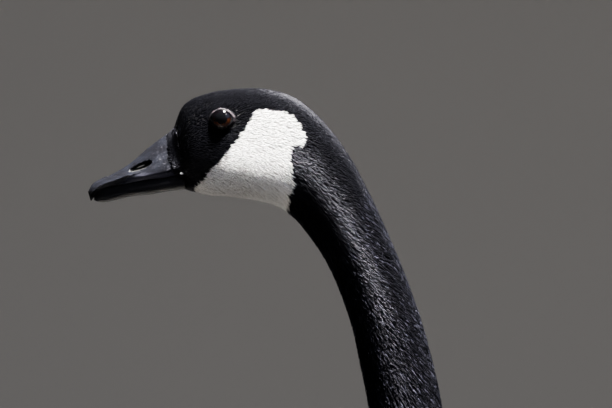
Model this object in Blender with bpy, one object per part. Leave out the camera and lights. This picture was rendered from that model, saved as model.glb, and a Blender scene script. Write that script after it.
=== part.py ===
"""A life-size Canada goose that stands on both feet with its neck raised, facing -X.

Lengths in the tables are millimetres, and MM turns them into Blender's metres. In them, x runs
backwards from the eye towards the tail, z runs up from the floor, and the goose's own left is -Y.
"""

import math

import bmesh
import bpy
import numpy as np
from mathutils import Matrix, Vector

MM = 0.001
GAP = 0.3

# Driving dimensions
EYE_HEIGHT = 800.0
EYE_RADIUS = 6.2
EYE_OFFSET = 15.7
EYE_SEGMENTS = 14
LID_RADIUS = 5.2
LID_THICKNESS = 1.1
LID_STAND = 3.6
LID_OVAL = (1.06, 0.98)
LID_TILT = 8.0
FOOT_SPREAD = 52.0
FOOT_X = 262.0
FOOT_STAGGER = 14.0
HOCK_HEIGHT = 118.0

SIDES = {"left": -1, "right": 1}

BLACK_FEATHER = ("black_feather", (0.012, 0.012, 0.015), 0.6)
BREAST_FEATHER = ("breast_feather", (0.42, 0.36, 0.29), 0.8)
BACK_FEATHER = ("back_feather", (0.15, 0.11, 0.085), 0.75)
HORN = ("bill_horn", (0.022, 0.022, 0.028), 0.35)
EYE = ("eye_glass", (0.03, 0.014, 0.008), 0.05)
LEG_SKIN = ("leg_skin", (0.022, 0.021, 0.021), 0.5)


# Head and neck, each row from the eye: the back line's x and z, the throat line's x and z,
# the half width, and how far the widest place sags below the middle.
HEAD_ROWS = {
    "bill_base": (-24.0, -4.5, -20.0, -35.2, 13.6, 0.30),
    "forehead": (-18.6, 7.9, -13.0, -37.1, 16.4, 0.22),
    "brow": (-7.8, 13.3, -5.0, -38.8, 19.0, 0.16),
    "eye": (8.4, 15.7, 5.0, -39.3, 21.0, 0.14),
    "crown": (23.0, 15.3, 16.0, -41.0, 22.4, 0.14),
    "cheek": (37.5, 10.3, 25.2, -43.1, 22.2, 0.12),
    "nape": (51.5, -1.8, 33.0, -47.6, 20.6, 0.08),
    "throat": (64.5, -19.3, 41.0, -55.8, 18.6, 0.03),
    "neck_top": (78.2, -46.1, 53.0, -73.8, 17.5, 0.0),
    "neck_bend": (93.8, -82.9, 63.1, -99.0, 17.3, 0.0),
    "neck_slope": (104.4, -116.2, 69.0, -124.0, 17.7, 0.0),
}

# Lower neck and body, each row from the floor, with the same six numbers.
BODY_ROWS = {
    "neck_middle": (112.5, 645.0, 75.0, 641.0, 18.4, 0.0),
    "neck_low": (119.5, 585.0, 79.0, 583.0, 20.0, 0.0),
    "neck_foot": (122.5, 532.0, 76.5, 530.0, 22.8, 0.0),
    "shoulder_notch": (127.0, 492.0, 66.0, 485.0, 29.0, 0.0),
    "neck_base": (136.0, 463.0, 49.0, 443.0, 41.0, 0.0),
    "breast_top": (150.0, 446.0, 29.0, 403.0, 57.0, 0.02),
    "breast": (169.0, 436.0, 18.0, 352.0, 73.0, 0.04),
    "keel_front": (193.0, 431.0, 30.0, 294.0, 87.0, 0.06),
    "keel": (222.0, 427.0, 78.0, 240.0, 95.0, 0.08),
    "belly_front": (256.0, 421.0, 150.0, 212.0, 99.0, 0.10),
    "belly": (296.0, 411.0, 232.0, 205.0, 99.0, 0.10),
    "belly_back": (338.0, 396.0, 306.0, 213.0, 92.0, 0.08),
    "vent": (379.0, 377.0, 365.0, 233.0, 76.0, 0.05),
    "rump": (418.0, 354.0, 414.0, 258.0, 55.0, 0.03),
    "tail_root": (452.0, 333.0, 452.0, 283.0, 38.0, 0.0),
}

HEAD_SIDES = 28
HEAD_STEPS = 18
NECK_SIDES = 22
BODY_SIDES = 30
BODY_STEPS = 20
# The neck's three lengths, with the rows they run between and how many steps each takes. CUT is
# what each end gives way, counted in rows.
NECK_PARTS = (
    ("neck_upper", "throat", "neck_slope", 9),
    ("neck_middle", "neck_slope", "neck_foot", 8),
    ("neck_lower", "neck_foot", "neck_base", 7),
)
CUT = 0.007
HEAD_CUT = 0.01

# Bill, each row from the eye: the ridge's x and z, the mouth line's x and z, the half width.
UPPER_BILL_ROWS = (
    (-24.5, -5.0, -21.5, -27.6, 13.0),
    (-30.0, -8.6, -28.6, -29.2, 12.6),
    (-38.4, -14.9, -37.0, -30.2, 11.9),
    (-46.9, -22.2, -46.0, -31.9, 11.1),
    (-54.6, -26.9, -54.0, -33.9, 10.2),
    (-61.2, -30.3, -60.2, -35.2, 8.8),
    (-65.6, -33.0, -64.4, -38.6, 6.2),
    (-67.9, -36.8, -66.5, -41.4, 2.4),
)
# The bill's half outline across: the height from the mouth line to the ridge, and the share of
# the half width there.
UPPER_BILL_SHAPE = (
    (0.0, 1.0), (0.16, 1.0), (0.36, 0.90), (0.58, 0.64), (0.78, 0.46), (0.93, 0.30), (1.0, 0.0),
)
LOWER_BILL_ROWS = (
    (-21.6, -28.1, -20.6, -35.6, 12.2),
    (-28.6, -29.7, -28.4, -36.4, 11.7),
    (-37.0, -30.7, -37.0, -37.6, 11.0),
    (-46.0, -32.4, -46.0, -38.9, 10.1),
    (-54.0, -34.4, -54.0, -40.4, 9.0),
    (-58.8, -35.8, -58.8, -41.2, 7.6),
    (-61.8, -37.4, -61.6, -41.1, 5.2),
    (-63.8, -39.2, -63.6, -40.6, 2.6),
)
LOWER_BILL_SHAPE = ((0.0, 0.72), (0.10, 0.90), (0.35, 1.0), (0.72, 1.0), (1.0, 0.94))
UPPER_BILL_STEPS = 18
LOWER_BILL_STEPS = 15
NOSTRIL = {
    "x": -41.5, "z": -23.3, "length": 11.5, "height": 4.2, "depth": 30.0, "tilt": math.radians(27),
    "segments": 16,
}

# The folded wing's outer form over the body: x, the height of its crest over the spine, the height
# of its widest place, and the half width there.
WING_ROWS = (
    (74.0, 415.0, 352.0, 60.0),
    (100.0, 432.0, 344.0, 82.0),
    (145.0, 440.0, 332.0, 100.0),
    (205.0, 438.0, 322.0, 109.0),
    (270.0, 428.0, 316.0, 111.5),
    (335.0, 410.0, 312.0, 103.0),
    (400.0, 385.0, 311.0, 82.0),
    (460.0, 360.0, 312.0, 58.0),
    (520.0, 343.0, 314.0, 40.0),
    (590.0, 334.0, 317.0, 26.0),
)
WING_FRONT = 80.0
WING_TIP = 575.0
# The shell that carries the wing's feathers: where it ends, how deep it reaches under the outer
# form at its front, and how thin it runs out.
CORE_END = 432.0
CORE_DEPTH = 24.0
CORE_EDGE = 3.0
# The clear way between the two wings over the spine, and a box on one wing's far side to cut with.
SPINE_CLEARANCE = 1.0
FAR_SIDE = {"x": (0.0, 650.0), "reach": 40.0, "z": (200.0, 500.0)}

# A feather's outline: the share of its length and of its full width there.
LONG_VANE = ((0.0, 0.55), (0.45, 0.94), (0.86, 0.84), (1.0, 0.16))
SHORT_VANE = ((0.0, 0.70), (0.50, 1.0), (0.84, 0.84), (1.0, 0.26))
EDGE_THICK = 0.7
SHAFT_THICK = 1.2
ROOT_SINK = 2.2

# The wing's tiers, from the deepest to the outermost. Each gives its first and last feather as
# root x, root angle, tip x, tip angle and width. rise is how far the tips stand out, and shingle
# how steeply each feather's lower edge lies over the feather below it.
WING_TIERS = {
    "primaries": {
        "count": 4, "first": (392, 91, 575, 84, 22), "last": (372, 72, 480, 58, 26),
        "rise": -0.8, "shingle": 0.10, "stops": LONG_VANE,
    },
    "secondaries": {
        "count": 6, "first": (196, 100, 330, 99, 27), "last": (330, 66, 446, 64, 27),
        "rise": 1.6, "shingle": 0.14, "stops": LONG_VANE,
    },
    "tertials": {
        "count": 3, "first": (300, 49, 462, 48, 37), "last": (300, 16, 446, 23, 38),
        "rise": 4.8, "shingle": 0.10, "stops": LONG_VANE,
    },
    "greater_coverts": {
        "count": 6, "first": (124, 97, 196, 98, 32), "last": (268, 42, 348, 42, 35),
        "rise": 5.4, "shingle": 0.16, "stops": SHORT_VANE,
    },
    "median_coverts": {
        "count": 6, "first": (96, 91, 148, 95, 31), "last": (224, 34, 286, 34, 35),
        "rise": 5.6, "shingle": 0.16, "stops": SHORT_VANE,
    },
    "rear_scapulars": {
        "count": 3, "first": (200, 11, 292, 14, 34), "last": (196, 40, 282, 42, 36),
        "rise": 6.8, "shingle": 0.14, "stops": SHORT_VANE,
    },
    "front_scapulars": {
        "count": 3, "first": (122, 15, 212, 13, 32), "last": (116, 50, 196, 46, 36),
        "rise": 5.8, "shingle": 0.14, "stops": SHORT_VANE,
    },
}

TAIL_START = BODY_ROWS["tail_root"][0] + GAP
TAIL_MIDDLE = (BODY_ROWS["tail_root"][1] + BODY_ROWS["tail_root"][3]) / 2
TAIL_LENGTH = 140.0
TAIL_DROOP = math.radians(9)
TAIL_SIDES = 24
TAIL_ROOT_HALF_HEIGHT = 24.0
TAIL_END_HALF_HEIGHT = 2.0
TAIL_ROOT_HALF_WIDTH = 36.0
TAIL_END_HALF_WIDTH = 44.0
TAIL_CORE_SHARES = (0.0, 0.1, 0.2, 0.3, 0.42)
# How far the feathers stand out above and beside the tail's core.
TAIL_FEATHER_RISE = 5.0
TAIL_FEATHER_REACH = 24.0
# The box ahead of the tail that trims the feathers' roots: its depth and its reach to each side.
TAIL_WALL = (60.0, 90.0)

# The tail's rows of feathers. spread is the outermost feather's turn, drop how far it lies below the
# middle ones, and step how far the left half lies below the right half, so that no two feathers meet
# edge to edge. root_height is a share of the core's half height, and tip_height is in millimetres.
TAIL_ROWS = {
    "tail_feathers": {
        "count": 12, "start": 12.0, "length": 128.0, "rounding": 14.0, "width": 26.0, "half_root": 26.0,
        "spread": 12.0, "drop": 11.0, "step": 1.6, "roof": 0.0, "root_height": 0.0, "tip_height": 3.0,
        "stops": LONG_VANE,
    },
    "upper_coverts": {
        "count": 6, "start": 3.0, "length": 60.0, "rounding": 8.0, "width": 22.0, "half_root": 28.0,
        "spread": 8.0, "drop": 3.0, "step": 1.8, "roof": 6.0, "root_height": 0.86, "tip_height": 12.0,
        "stops": SHORT_VANE,
    },
    "under_coverts": {
        "count": 6, "start": 3.0, "length": 84.0, "rounding": 10.0, "width": 24.0, "half_root": 26.0,
        "spread": 7.0, "drop": -2.0, "step": -1.8, "roof": -2.0, "root_height": -0.84, "tip_height": -13.0,
        "stops": SHORT_VANE,
    },
}

# The thigh and the bare shank, from below: how far back of the foot, how far in from it, the height
# over the floor, and the half sizes along X and Y.
THIGH_STOPS = (
    (18.0, 0.0, HOCK_HEIGHT + 6.0, 9.5, 8.5),
    (16.0, 0.0, HOCK_HEIGHT + 22.0, 13.0, 11.0),
    (10.0, 0.0, HOCK_HEIGHT + 48.0, 22.0, 18.0),
    (2.0, 0.0, HOCK_HEIGHT + 78.0, 34.0, 26.0),
    (-4.0, 4.0, HOCK_HEIGHT + 112.0, 44.0, 32.0),
    (-8.0, 8.0, HOCK_HEIGHT + 150.0, 40.0, 28.0),
)
THIGH_SIDES = 20
SHANK_STOPS = (
    (1.0, 0.0, 22.0, 6.5, 6.0),
    (2.0, 0.0, 34.0, 5.6, 4.8),
    (8.0, 0.0, HOCK_HEIGHT - 40.0, 5.6, 4.6),
    (13.0, 0.0, HOCK_HEIGHT - 18.0, 6.8, 5.4),
    (16.0, 0.0, HOCK_HEIGHT - 6.0, 9.5, 7.4),
    (17.5, 0.0, HOCK_HEIGHT + 3.0, 9.6, 7.6),
    (18.0, 0.0, HOCK_HEIGHT + 5.7, 8.6, 7.0),
)
FOOT_STOPS = (
    (-4.0, 0.0, -3.0, 11.0, 9.0),
    (-3.0, 0.0, 6.0, 10.0, 8.5),
    (0.0, 0.0, 15.0, 8.0, 7.0),
    (1.0, 0.0, 21.7, 6.5, 6.0),
)
LIMB_SIDES = 14
FOOT_ROOT_X = -4.0

# The front toes: the turn towards the midline in degrees, and the length without the claw.
TOES = {
    "inner": {"turn": 24.0, "length": 62.0},
    "middle": {"turn": -3.0, "length": 84.0},
    "outer": {"turn": -28.0, "length": 76.0},
}
TOE_SIDES = 8
TOE_STEPS = 6
TOE_ROOT_RADIUS = 5.6
TOE_TIP_RADIUS = 3.4
TOE_JOINT_SWELL = 0.10
TOE_REST = 0.72
# The hind toe's stops: how far back of the foot's root, its radius, and its middle's height.
HIND_TOE_STOPS = ((6.0, 5.0, 9.0), (14.5, 4.0, 8.0), (21.2, 2.6, 5.0), (25.0, 1.0, 2.4))
HIND_TOE_TURN = math.radians(20)
# A claw's stops: the share of its length, its half width and its half height.
CLAW_STOPS = ((0.0, 2.7, 2.5), (0.35, 2.4, 2.2), (0.7, 1.7, 1.5), (1.0, 0.6, 0.6))
CLAW_LENGTH = 9.0
CLAW_ROOT_HEIGHT = 3.4
CLAW_DROP = 2.2
# The web: its under and upper face, its reach along the toes, how far its edge is drawn in between
# them, and its two corners at the foot's root as a turn in degrees and a distance.
WEB_LOW = 1.2
WEB_HIGH = 3.0
WEB_REACH = 0.93
WEB_HOLLOW = 0.20
WEB_EDGE_STEPS = 5
WEB_CORNERS = ((40.0, 6.0), (-44.0, 6.0))
# The box under the floor that flattens the sole: behind, ahead and beside the foot, and its depth.
FLOOR_BOX = {"ahead": 150.0, "behind": 60.0, "beside": 90.0, "depth": 30.0}


def spline(rows, place):
    """The rows' numbers at a place that counts rows, on a smooth curve through all of them."""
    rows = np.asarray(rows, float)
    last = len(rows) - 1
    i = min(int(place), last - 1)
    t = place - i
    before = rows[i - 1] if i else 2 * rows[0] - rows[1]
    after = rows[i + 2] if i + 2 <= last else 2 * rows[last] - rows[last - 1]
    start, end = rows[i], rows[i + 1]
    return 0.5 * (
        2 * start
        + (end - before) * t
        + (2 * before - 5 * start + 4 * end - after) * t ** 2
        + (3 * start - before - 3 * end + after) * t ** 3
    )


def mesh_object(name, points, faces, finish):
    """A closed mesh object of points in millimetres, with its faces turned outwards."""
    mesh = bpy.data.meshes.new(name)
    work = bmesh.new()
    verts = [work.verts.new(Vector(p) * MM) for p in points]
    for face in faces:
        work.faces.new([verts[i] for i in face])
    bmesh.ops.recalc_face_normals(work, faces=work.faces)
    work.to_mesh(mesh)
    work.free()
    obj = bpy.data.objects.new(name, mesh)
    goose.objects.link(obj)
    paint(obj, finish)
    return obj


def paint(obj, finish):
    """Gives an object its one material, made when it is first asked for."""
    name, colour, roughness = finish
    material = bpy.data.materials.get(name)
    if material is None:
        material = bpy.data.materials.new(name)
        material.use_nodes = True
        shader = material.node_tree.nodes["Principled BSDF"]
        shader.inputs["Base Color"].default_value = (*colour, 1.0)
        shader.inputs["Roughness"].default_value = roughness
        shader.inputs["Metallic"].default_value = 0.0
    obj.data.materials.clear()
    obj.data.materials.append(material)


def loft(name, rings, finish):
    """A closed body through rings of equally many points, flat at both ends."""
    sides = len(rings[0])
    points = [p for ring in rings for p in ring]
    faces = [
        (r * sides + i, r * sides + (i + 1) % sides, (r + 1) * sides + (i + 1) % sides, (r + 1) * sides + i)
        for r in range(len(rings) - 1)
        for i in range(sides)
    ]
    first = len(points) - sides
    faces += [tuple(range(sides)), tuple(range(first, first + sides))]
    return mesh_object(name, points, faces, finish)


def keep_largest(obj):
    """Drops every loose surface but the one with the most volume."""
    work = bmesh.new()
    work.from_mesh(obj.data)
    shells = []
    left = set(work.faces)
    while left:
        stack = [left.pop()]
        shell = list(stack)
        while stack:
            for edge in stack.pop().edges:
                for face in edge.link_faces:
                    if face in left:
                        left.remove(face)
                        stack.append(face)
                        shell.append(face)
        shells.append(shell)

    def volume(shell):
        return sum(f.calc_center_median().dot(f.normal) * f.calc_area() for f in shell)

    shells.sort(key=volume)
    waste = [face for shell in shells[:-1] for face in shell]
    bmesh.ops.delete(work, geom=waste, context="FACES")
    bmesh.ops.triangulate(work, faces=work.faces)
    work.to_mesh(obj.data)
    work.free()


def combine(obj, others, operation, solver="EXACT"):
    """Joins others to an object, or cuts them from it, and removes them."""
    group = bpy.data.collections.new("pieces")
    bpy.context.scene.collection.children.link(group)
    for other in others:
        for owner in list(other.users_collection):
            owner.objects.unlink(other)
        group.objects.link(other)
    modifier = obj.modifiers.new(operation.lower(), "BOOLEAN")
    modifier.operation = operation
    modifier.operand_type = "COLLECTION"
    modifier.collection = group
    modifier.solver = solver
    graph = bpy.context.evaluated_depsgraph_get()
    made = bpy.data.meshes.new_from_object(obj.evaluated_get(graph))
    obj.modifiers.clear()
    obj.data = made
    for other in others:
        bpy.data.objects.remove(other)
    bpy.data.collections.remove(group)
    keep_largest(obj)
    return obj


def body_row(place):
    """The six numbers of the goose's form at a place along HEAD_ROWS and then BODY_ROWS, from the floor."""
    return spline(FORM, place)


def body_ring(place, sides, swell=0.0):
    """One cross-section of the goose's form, in the plane through its back point and its throat point."""
    top_x, top_z, low_x, low_z, half_width, sag = body_row(place)
    middle = np.array([(top_x + low_x) / 2, (top_z + low_z) / 2])
    up = np.array([(top_x - low_x) / 2, (top_z - low_z) / 2])
    up *= 1 + swell / np.linalg.norm(up)
    ring = []
    for i in range(sides):
        angle = 2 * math.pi * i / sides
        rise = math.cos(angle) - sag * math.sin(angle) ** 2
        x, z = middle + up * rise
        ring.append((x, (half_width + swell) * math.sin(angle), z))
    return ring


def body_part(name, start, end, steps, sides, finish):
    """The length of the goose's form between two places, as a closed body."""
    rings = [body_ring(start + (end - start) * i / steps, sides) for i in range(steps + 1)]
    return loft(name, rings, finish)


def ball(name, centre, sizes, finish, segments, tilt=0.0):
    """An ellipsoid of three half sizes, tilted about the Y axis."""
    mesh = bpy.data.meshes.new(name)
    work = bmesh.new()
    bmesh.ops.create_uvsphere(work, u_segments=segments, v_segments=segments // 2, radius=1.0)
    shape = Matrix.Rotation(tilt, 4, "Y") @ Matrix.Diagonal((*sizes, 1.0))
    work.transform(Matrix.Scale(MM, 4) @ Matrix.Translation(centre) @ shape)
    work.to_mesh(mesh)
    work.free()
    obj = bpy.data.objects.new(name, mesh)
    goose.objects.link(obj)
    paint(obj, finish)
    return obj


def eye_centre(side):
    return (0.0, side * EYE_OFFSET, EYE_HEIGHT)


def make_head():
    """The feathered head from the bill's base to the throat, with a lid ring and a socket for each eye."""
    start, end = PLACES["bill_base"], PLACES["throat"] - HEAD_CUT
    head = body_part("head", start, end, HEAD_STEPS, HEAD_SIDES, BLACK_FEATHER)
    rings = []
    for side in SIDES.values():
        lid_centre = Vector((0.0, side * (EYE_OFFSET + LID_STAND), EYE_HEIGHT)) * MM
        bpy.ops.mesh.primitive_torus_add(
            major_segments=16, minor_segments=6, major_radius=LID_RADIUS * MM, minor_radius=LID_THICKNESS * MM
        )
        ring = bpy.context.object
        ring.data.transform(Matrix.Diagonal((*LID_OVAL, 1.0, 1.0)))
        ring.data.transform(Matrix.Rotation(math.radians(90 - side * LID_TILT), 4, "X"))
        ring.data.transform(Matrix.Translation(lid_centre))
        rings.append(ring)
    combine(head, rings, "UNION")
    socket_sizes = (EYE_RADIUS + GAP,) * 3
    sockets = [ball("socket", eye_centre(side), socket_sizes, EYE, EYE_SEGMENTS) for side in SIDES.values()]
    combine(head, sockets, "DIFFERENCE")


def make_eyes():
    for word, side in SIDES.items():
        ball(f"eye_{word}", eye_centre(side), (EYE_RADIUS,) * 3, EYE, EYE_SEGMENTS)


def make_neck():
    """The neck in three lengths, parted by thin cuts."""
    for name, start, end, steps in NECK_PARTS:
        body_part(name, PLACES[start] + CUT, PLACES[end] - CUT, steps, NECK_SIDES, BLACK_FEATHER)


def bill_ring(row, shape):
    """One cross-section of half a bill, through its ridge point and its mouth point."""
    top = np.array([row[0], row[1]])
    low = np.array([row[2], row[3]])
    right = []
    for height, share in shape:
        x, z = low + (top - low) * height
        right.append((x, row[4] * share, z + EYE_HEIGHT))
    left = [(x, -y, z) for x, y, z in reversed(right) if y > 0]
    return right + left


def bill_half(name, rows, shape, steps):
    last = len(rows) - 1
    rings = [bill_ring(spline(rows, last * i / steps), shape) for i in range(steps + 1)]
    return loft(name, rings, HORN)


def make_bill():
    """The two halves of the shut bill, with the nostril cut right through the upper one."""
    upper = bill_half("bill_upper", UPPER_BILL_ROWS, UPPER_BILL_SHAPE, UPPER_BILL_STEPS)
    centre = (NOSTRIL["x"], 0.0, NOSTRIL["z"] + EYE_HEIGHT)
    sizes = (NOSTRIL["length"] / 2, NOSTRIL["depth"], NOSTRIL["height"] / 2)
    nostril = ball("nostril", centre, sizes, HORN, NOSTRIL["segments"], NOSTRIL["tilt"])
    combine(upper, [nostril], "DIFFERENCE")
    bill_half("bill_lower", LOWER_BILL_ROWS, LOWER_BILL_SHAPE, LOWER_BILL_STEPS)


def torso_places():
    start, end = PLACES["neck_base"] + CUT, PLACES["tail_root"]
    return [start + (end - start) * i / BODY_STEPS for i in range(BODY_STEPS + 1)]


def make_torso():
    """The body from the base of the neck to the root of the tail."""
    loft("torso", [body_ring(place, BODY_SIDES) for place in torso_places()], BREAST_FEATHER)


def body_cutter():
    """The neck's foot and the body, larger by the gap, to cut what lies on them."""
    places = [PLACES["neck_foot"] + 0.25 * i for i in range(8)] + torso_places()
    return loft("cutter", [body_ring(place, BODY_SIDES, 2 * GAP) for place in places], BREAST_FEATHER)


def wing_point(side, x, angle, lift=0.0):
    """A point of the folded wing's outer form: angle 0 lies over the spine and 90 at the widest place."""
    xs = [row[0] for row in WING_ROWS]
    i = max(j for j in range(len(xs) - 1) if xs[j] <= x or j == 0)
    place = i + (x - xs[i]) / (xs[i + 1] - xs[i])
    _, crest, middle, half_width = spline(WING_ROWS, place)
    return (
        x,
        side * (half_width + lift) * math.sin(angle),
        middle + (crest - middle + lift) * math.cos(angle),
    )


def wing_edges(x):
    """The angles of the folded wing's upper and lower edge at x, in radians."""
    share = (x - WING_FRONT) / (WING_TIP - WING_FRONT)
    upper = 5 + 66 * max(0.0, share - 0.62) ** 1.3 + 45 * max(0.0, 0.10 - share) / 0.10
    lower = 103 - 14 * max(0.0, 0.16 - share) / 0.16 - 6 * share
    return math.radians(upper), math.radians(lower)


def wing_core(name, side):
    """The wing's body under its feathers: a shell that lies on the goose's side and thins rearwards."""
    across, along = 6, 10
    rings = []
    for i in range(along + 1):
        share = i / along
        x = WING_FRONT + (CORE_END - WING_FRONT) * share
        upper, lower = wing_edges(x)
        thin = -CORE_DEPTH * (1 - share) ** 0.5 - CORE_EDGE
        angles = [upper + (lower - upper) * j / across for j in range(across + 1)]
        outside = [wing_point(side, x, a) for a in angles]
        inside = [wing_point(side, x, a, thin) for a in reversed(angles)]
        rings.append(outside + inside)
    return loft(name, rings, BACK_FEATHER)


def vane(place, width, stops):
    """One feather as a thin closed blade. place turns a share of its length, a distance across and a
    lift into a point. Both faces are split into the same triangles."""
    points = []
    for share, wide in stops:
        half = width / 2 * wide
        for across, thick in ((-half, EDGE_THICK), (0.0, SHAFT_THICK), (half, EDGE_THICK)):
            points.append(place(share, across, thick / 2))
            points.append(place(share, across, -thick / 2))
    faces = []
    last = len(stops) - 1
    for i in range(last):
        for j in range(2):
            a, b = 6 * i + 2 * j, 6 * i + 2 * j + 2
            c, d = b + 6, a + 6
            faces += [(a, b, c), (a, c, d), (a + 1, c + 1, b + 1), (a + 1, d + 1, c + 1)]
        for j in (0, 2):
            a, d = 6 * i + 2 * j, 6 * i + 2 * j + 6
            faces += [(a, d, d + 1), (a, d + 1, a + 1)]
    for i in (0, last):
        for j in range(2):
            a, b = 6 * i + 2 * j, 6 * i + 2 * j + 2
            faces += [(a, b, b + 1), (a, b + 1, a + 1)]
    return mesh_object("vane", points, faces, BACK_FEATHER)


def wing_vane(side, tier, share):
    """One feather of a tier of the wing; share runs from the tier's first feather to its last."""
    root_x, root_angle, tip_x, tip_angle, width = (
        first + (last - first) * share for first, last in zip(tier["first"], tier["last"])
    )

    def place(along, across, lift):
        x = root_x + (tip_x - root_x) * along
        turn = math.radians(root_angle + (tip_angle - root_angle) * along)
        half_width = wing_point(1, x, math.pi / 2)[1]
        rise = -ROOT_SINK + (tier["rise"] + ROOT_SINK) * along
        shingle = tier["shingle"] * across * (1 - 0.6 * (1 - along))
        return wing_point(side, x, turn + across / half_width, rise + shingle + lift)

    return vane(place, width, tier["stops"])


def make_wings():
    """The two folded wings, with every tier of feathers laid over the next like shingles."""
    for word, side in SIDES.items():
        wing = wing_core(f"wing_{word}", side)
        vanes = [
            wing_vane(side, tier, i / (tier["count"] - 1))
            for tier in WING_TIERS.values()
            for i in range(tier["count"])
        ]
        combine(wing, vanes, "UNION", "MANIFOLD")
        near, far = sorted((side * SPINE_CLEARANCE, -side * FAR_SIDE["reach"]))
        (front, back), (low, high) = FAR_SIDE["x"], FAR_SIDE["z"]
        far_side = mesh_box("far_side", (front, near, low), (back, far, high))
        for cutter in (body_cutter(), tail_room(), far_side):
            combine(wing, [cutter], "DIFFERENCE", "MANIFOLD")


def tail_core(share):
    """The height of the tail's middle and its half height, at a share of the tail's length."""
    middle = TAIL_MIDDLE - TAIL_LENGTH * share * math.tan(TAIL_DROOP)
    root_share = max(0.0, 1 - share) ** 2.2
    half_height = TAIL_END_HALF_HEIGHT + (TAIL_ROOT_HALF_HEIGHT - TAIL_END_HALF_HEIGHT) * root_share
    return middle, half_height


def tail_ring(share, rise=0.0, reach=0.0):
    """One upright cross-section of the tail's core, swollen upwards by rise and sideways by reach."""
    x = TAIL_START + TAIL_LENGTH * share
    z, half_height = tail_core(share)
    half_height += rise
    half_width = TAIL_ROOT_HALF_WIDTH + (TAIL_END_HALF_WIDTH - TAIL_ROOT_HALF_WIDTH) * share + reach
    angles = [2 * math.pi * j / TAIL_SIDES for j in range(TAIL_SIDES)]
    return [(x, half_width * math.sin(a), z + half_height * math.cos(a)) for a in angles]


def tail_room():
    """The room that the tail takes, with its feathers, which the wings keep clear of."""
    shares = [-0.02] + [0.1 * i for i in range(12)]
    rings = [tail_ring(share, TAIL_FEATHER_RISE, TAIL_FEATHER_REACH) for share in shares]
    return loft("tail_room", rings, BLACK_FEATHER)


def tail_vane(place_across, row):
    """One feather of a row of the tail; place_across runs from -1 at the left edge to 1 at the right edge."""
    spread = math.radians(row["spread"]) * place_across
    root_y = row["half_root"] * place_across
    drop = row["drop"] * abs(place_across) + row["step"] * (place_across < 0)
    length = row["length"] - row["rounding"] * place_across ** 2

    def place(along, across, lift):
        reach = length * along
        x = TAIL_START + row["start"] + reach * math.cos(spread) - across * math.sin(spread)
        y = root_y + reach * math.sin(spread) + across * math.cos(spread)
        middle, half_height = tail_core((x - TAIL_START) / TAIL_LENGTH)
        roof = row["roof"] * y ** 2 / 1000
        height = row["root_height"] * half_height * (1 - along) + row["tip_height"] * along
        return (x, y, middle + height - drop * along - roof + lift)

    return vane(place, row["width"], row["stops"])


def make_tail():
    """The tail: a core that goes on from the body, its long feathers, and the coverts over and under them."""
    tail = loft("tail", [tail_ring(share) for share in TAIL_CORE_SHARES], BLACK_FEATHER)
    vanes = []
    for row in TAIL_ROWS.values():
        for i in range(row["count"]):
            vanes.append(tail_vane(2 * i / (row["count"] - 1) - 1, row))
    combine(tail, vanes, "UNION", "MANIFOLD")
    depth, reach = TAIL_WALL
    wall = mesh_box(
        "wall", (TAIL_START - depth, -reach, TAIL_MIDDLE - reach), (TAIL_START, reach, TAIL_MIDDLE + reach)
    )
    combine(tail, [wall], "DIFFERENCE", "MANIFOLD")


def leg_x(side):
    return FOOT_X + side * FOOT_STAGGER


def limb(name, side, stops, finish, sides=LIMB_SIDES):
    """A closed round body up a leg, through a table of stops."""
    rings = []
    for back, inwards, z, half_x, half_y in stops:
        x = leg_x(side) + back
        y = side * (FOOT_SPREAD - inwards)
        angles = [2 * math.pi * j / sides for j in range(sides)]
        rings.append([(x + half_x * math.cos(a), y + half_y * math.sin(a), z) for a in angles])
    return loft(name, rings, finish)


def make_legs():
    """Each leg: a feathered thigh against the belly, a bare shank and a webbed foot."""
    for word, side in SIDES.items():
        thigh = limb(f"thigh_{word}", side, THIGH_STOPS, BREAST_FEATHER, THIGH_SIDES)
        combine(thigh, [body_cutter()], "DIFFERENCE")
        limb(f"shank_{word}", side, SHANK_STOPS, LEG_SKIN)
        make_foot(word, side)


def toe_direction(side, turn):
    """The flat direction of a toe: turn 0 points ahead, and a positive turn points to the midline."""
    angle = math.radians(turn)
    return Vector((-math.cos(angle), -side * math.sin(angle), 0.0))


def toe_ring(centre, direction, half_wide, half_high):
    """One cross-section of a toe or a claw, square to its direction."""
    across = Vector((-direction.y, direction.x, 0.0))
    angles = [2 * math.pi * j / TOE_SIDES for j in range(TOE_SIDES)]
    return [
        centre + across * half_wide * math.cos(a) + Vector((0.0, 0.0, half_high * math.sin(a)))
        for a in angles
    ]


def toe(root, direction, length):
    """A toe as a tapered round body that lies along the floor, with a swelling at each joint."""
    rings = []
    for i in range(TOE_STEPS + 1):
        share = i / TOE_STEPS
        radius = TOE_ROOT_RADIUS + (TOE_TIP_RADIUS - TOE_ROOT_RADIUS) * share
        radius *= 1 + TOE_JOINT_SWELL * math.cos(3 * share * 2 * math.pi)
        centre = root + direction * length * share
        centre.z = radius * TOE_REST
        rings.append(toe_ring(centre, direction, radius, radius))
    return loft("toe", rings, LEG_SKIN)


def hind_toe(side, root):
    """The small toe that points back and a little outwards, above the sole."""
    direction = Vector((math.cos(HIND_TOE_TURN), -side * math.sin(HIND_TOE_TURN), 0.0))
    rings = []
    for back, radius, height in HIND_TOE_STOPS:
        centre = root + direction * back
        centre.z = height
        rings.append(toe_ring(centre, direction, radius, radius))
    return loft("hind_toe", rings, LEG_SKIN)


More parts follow.
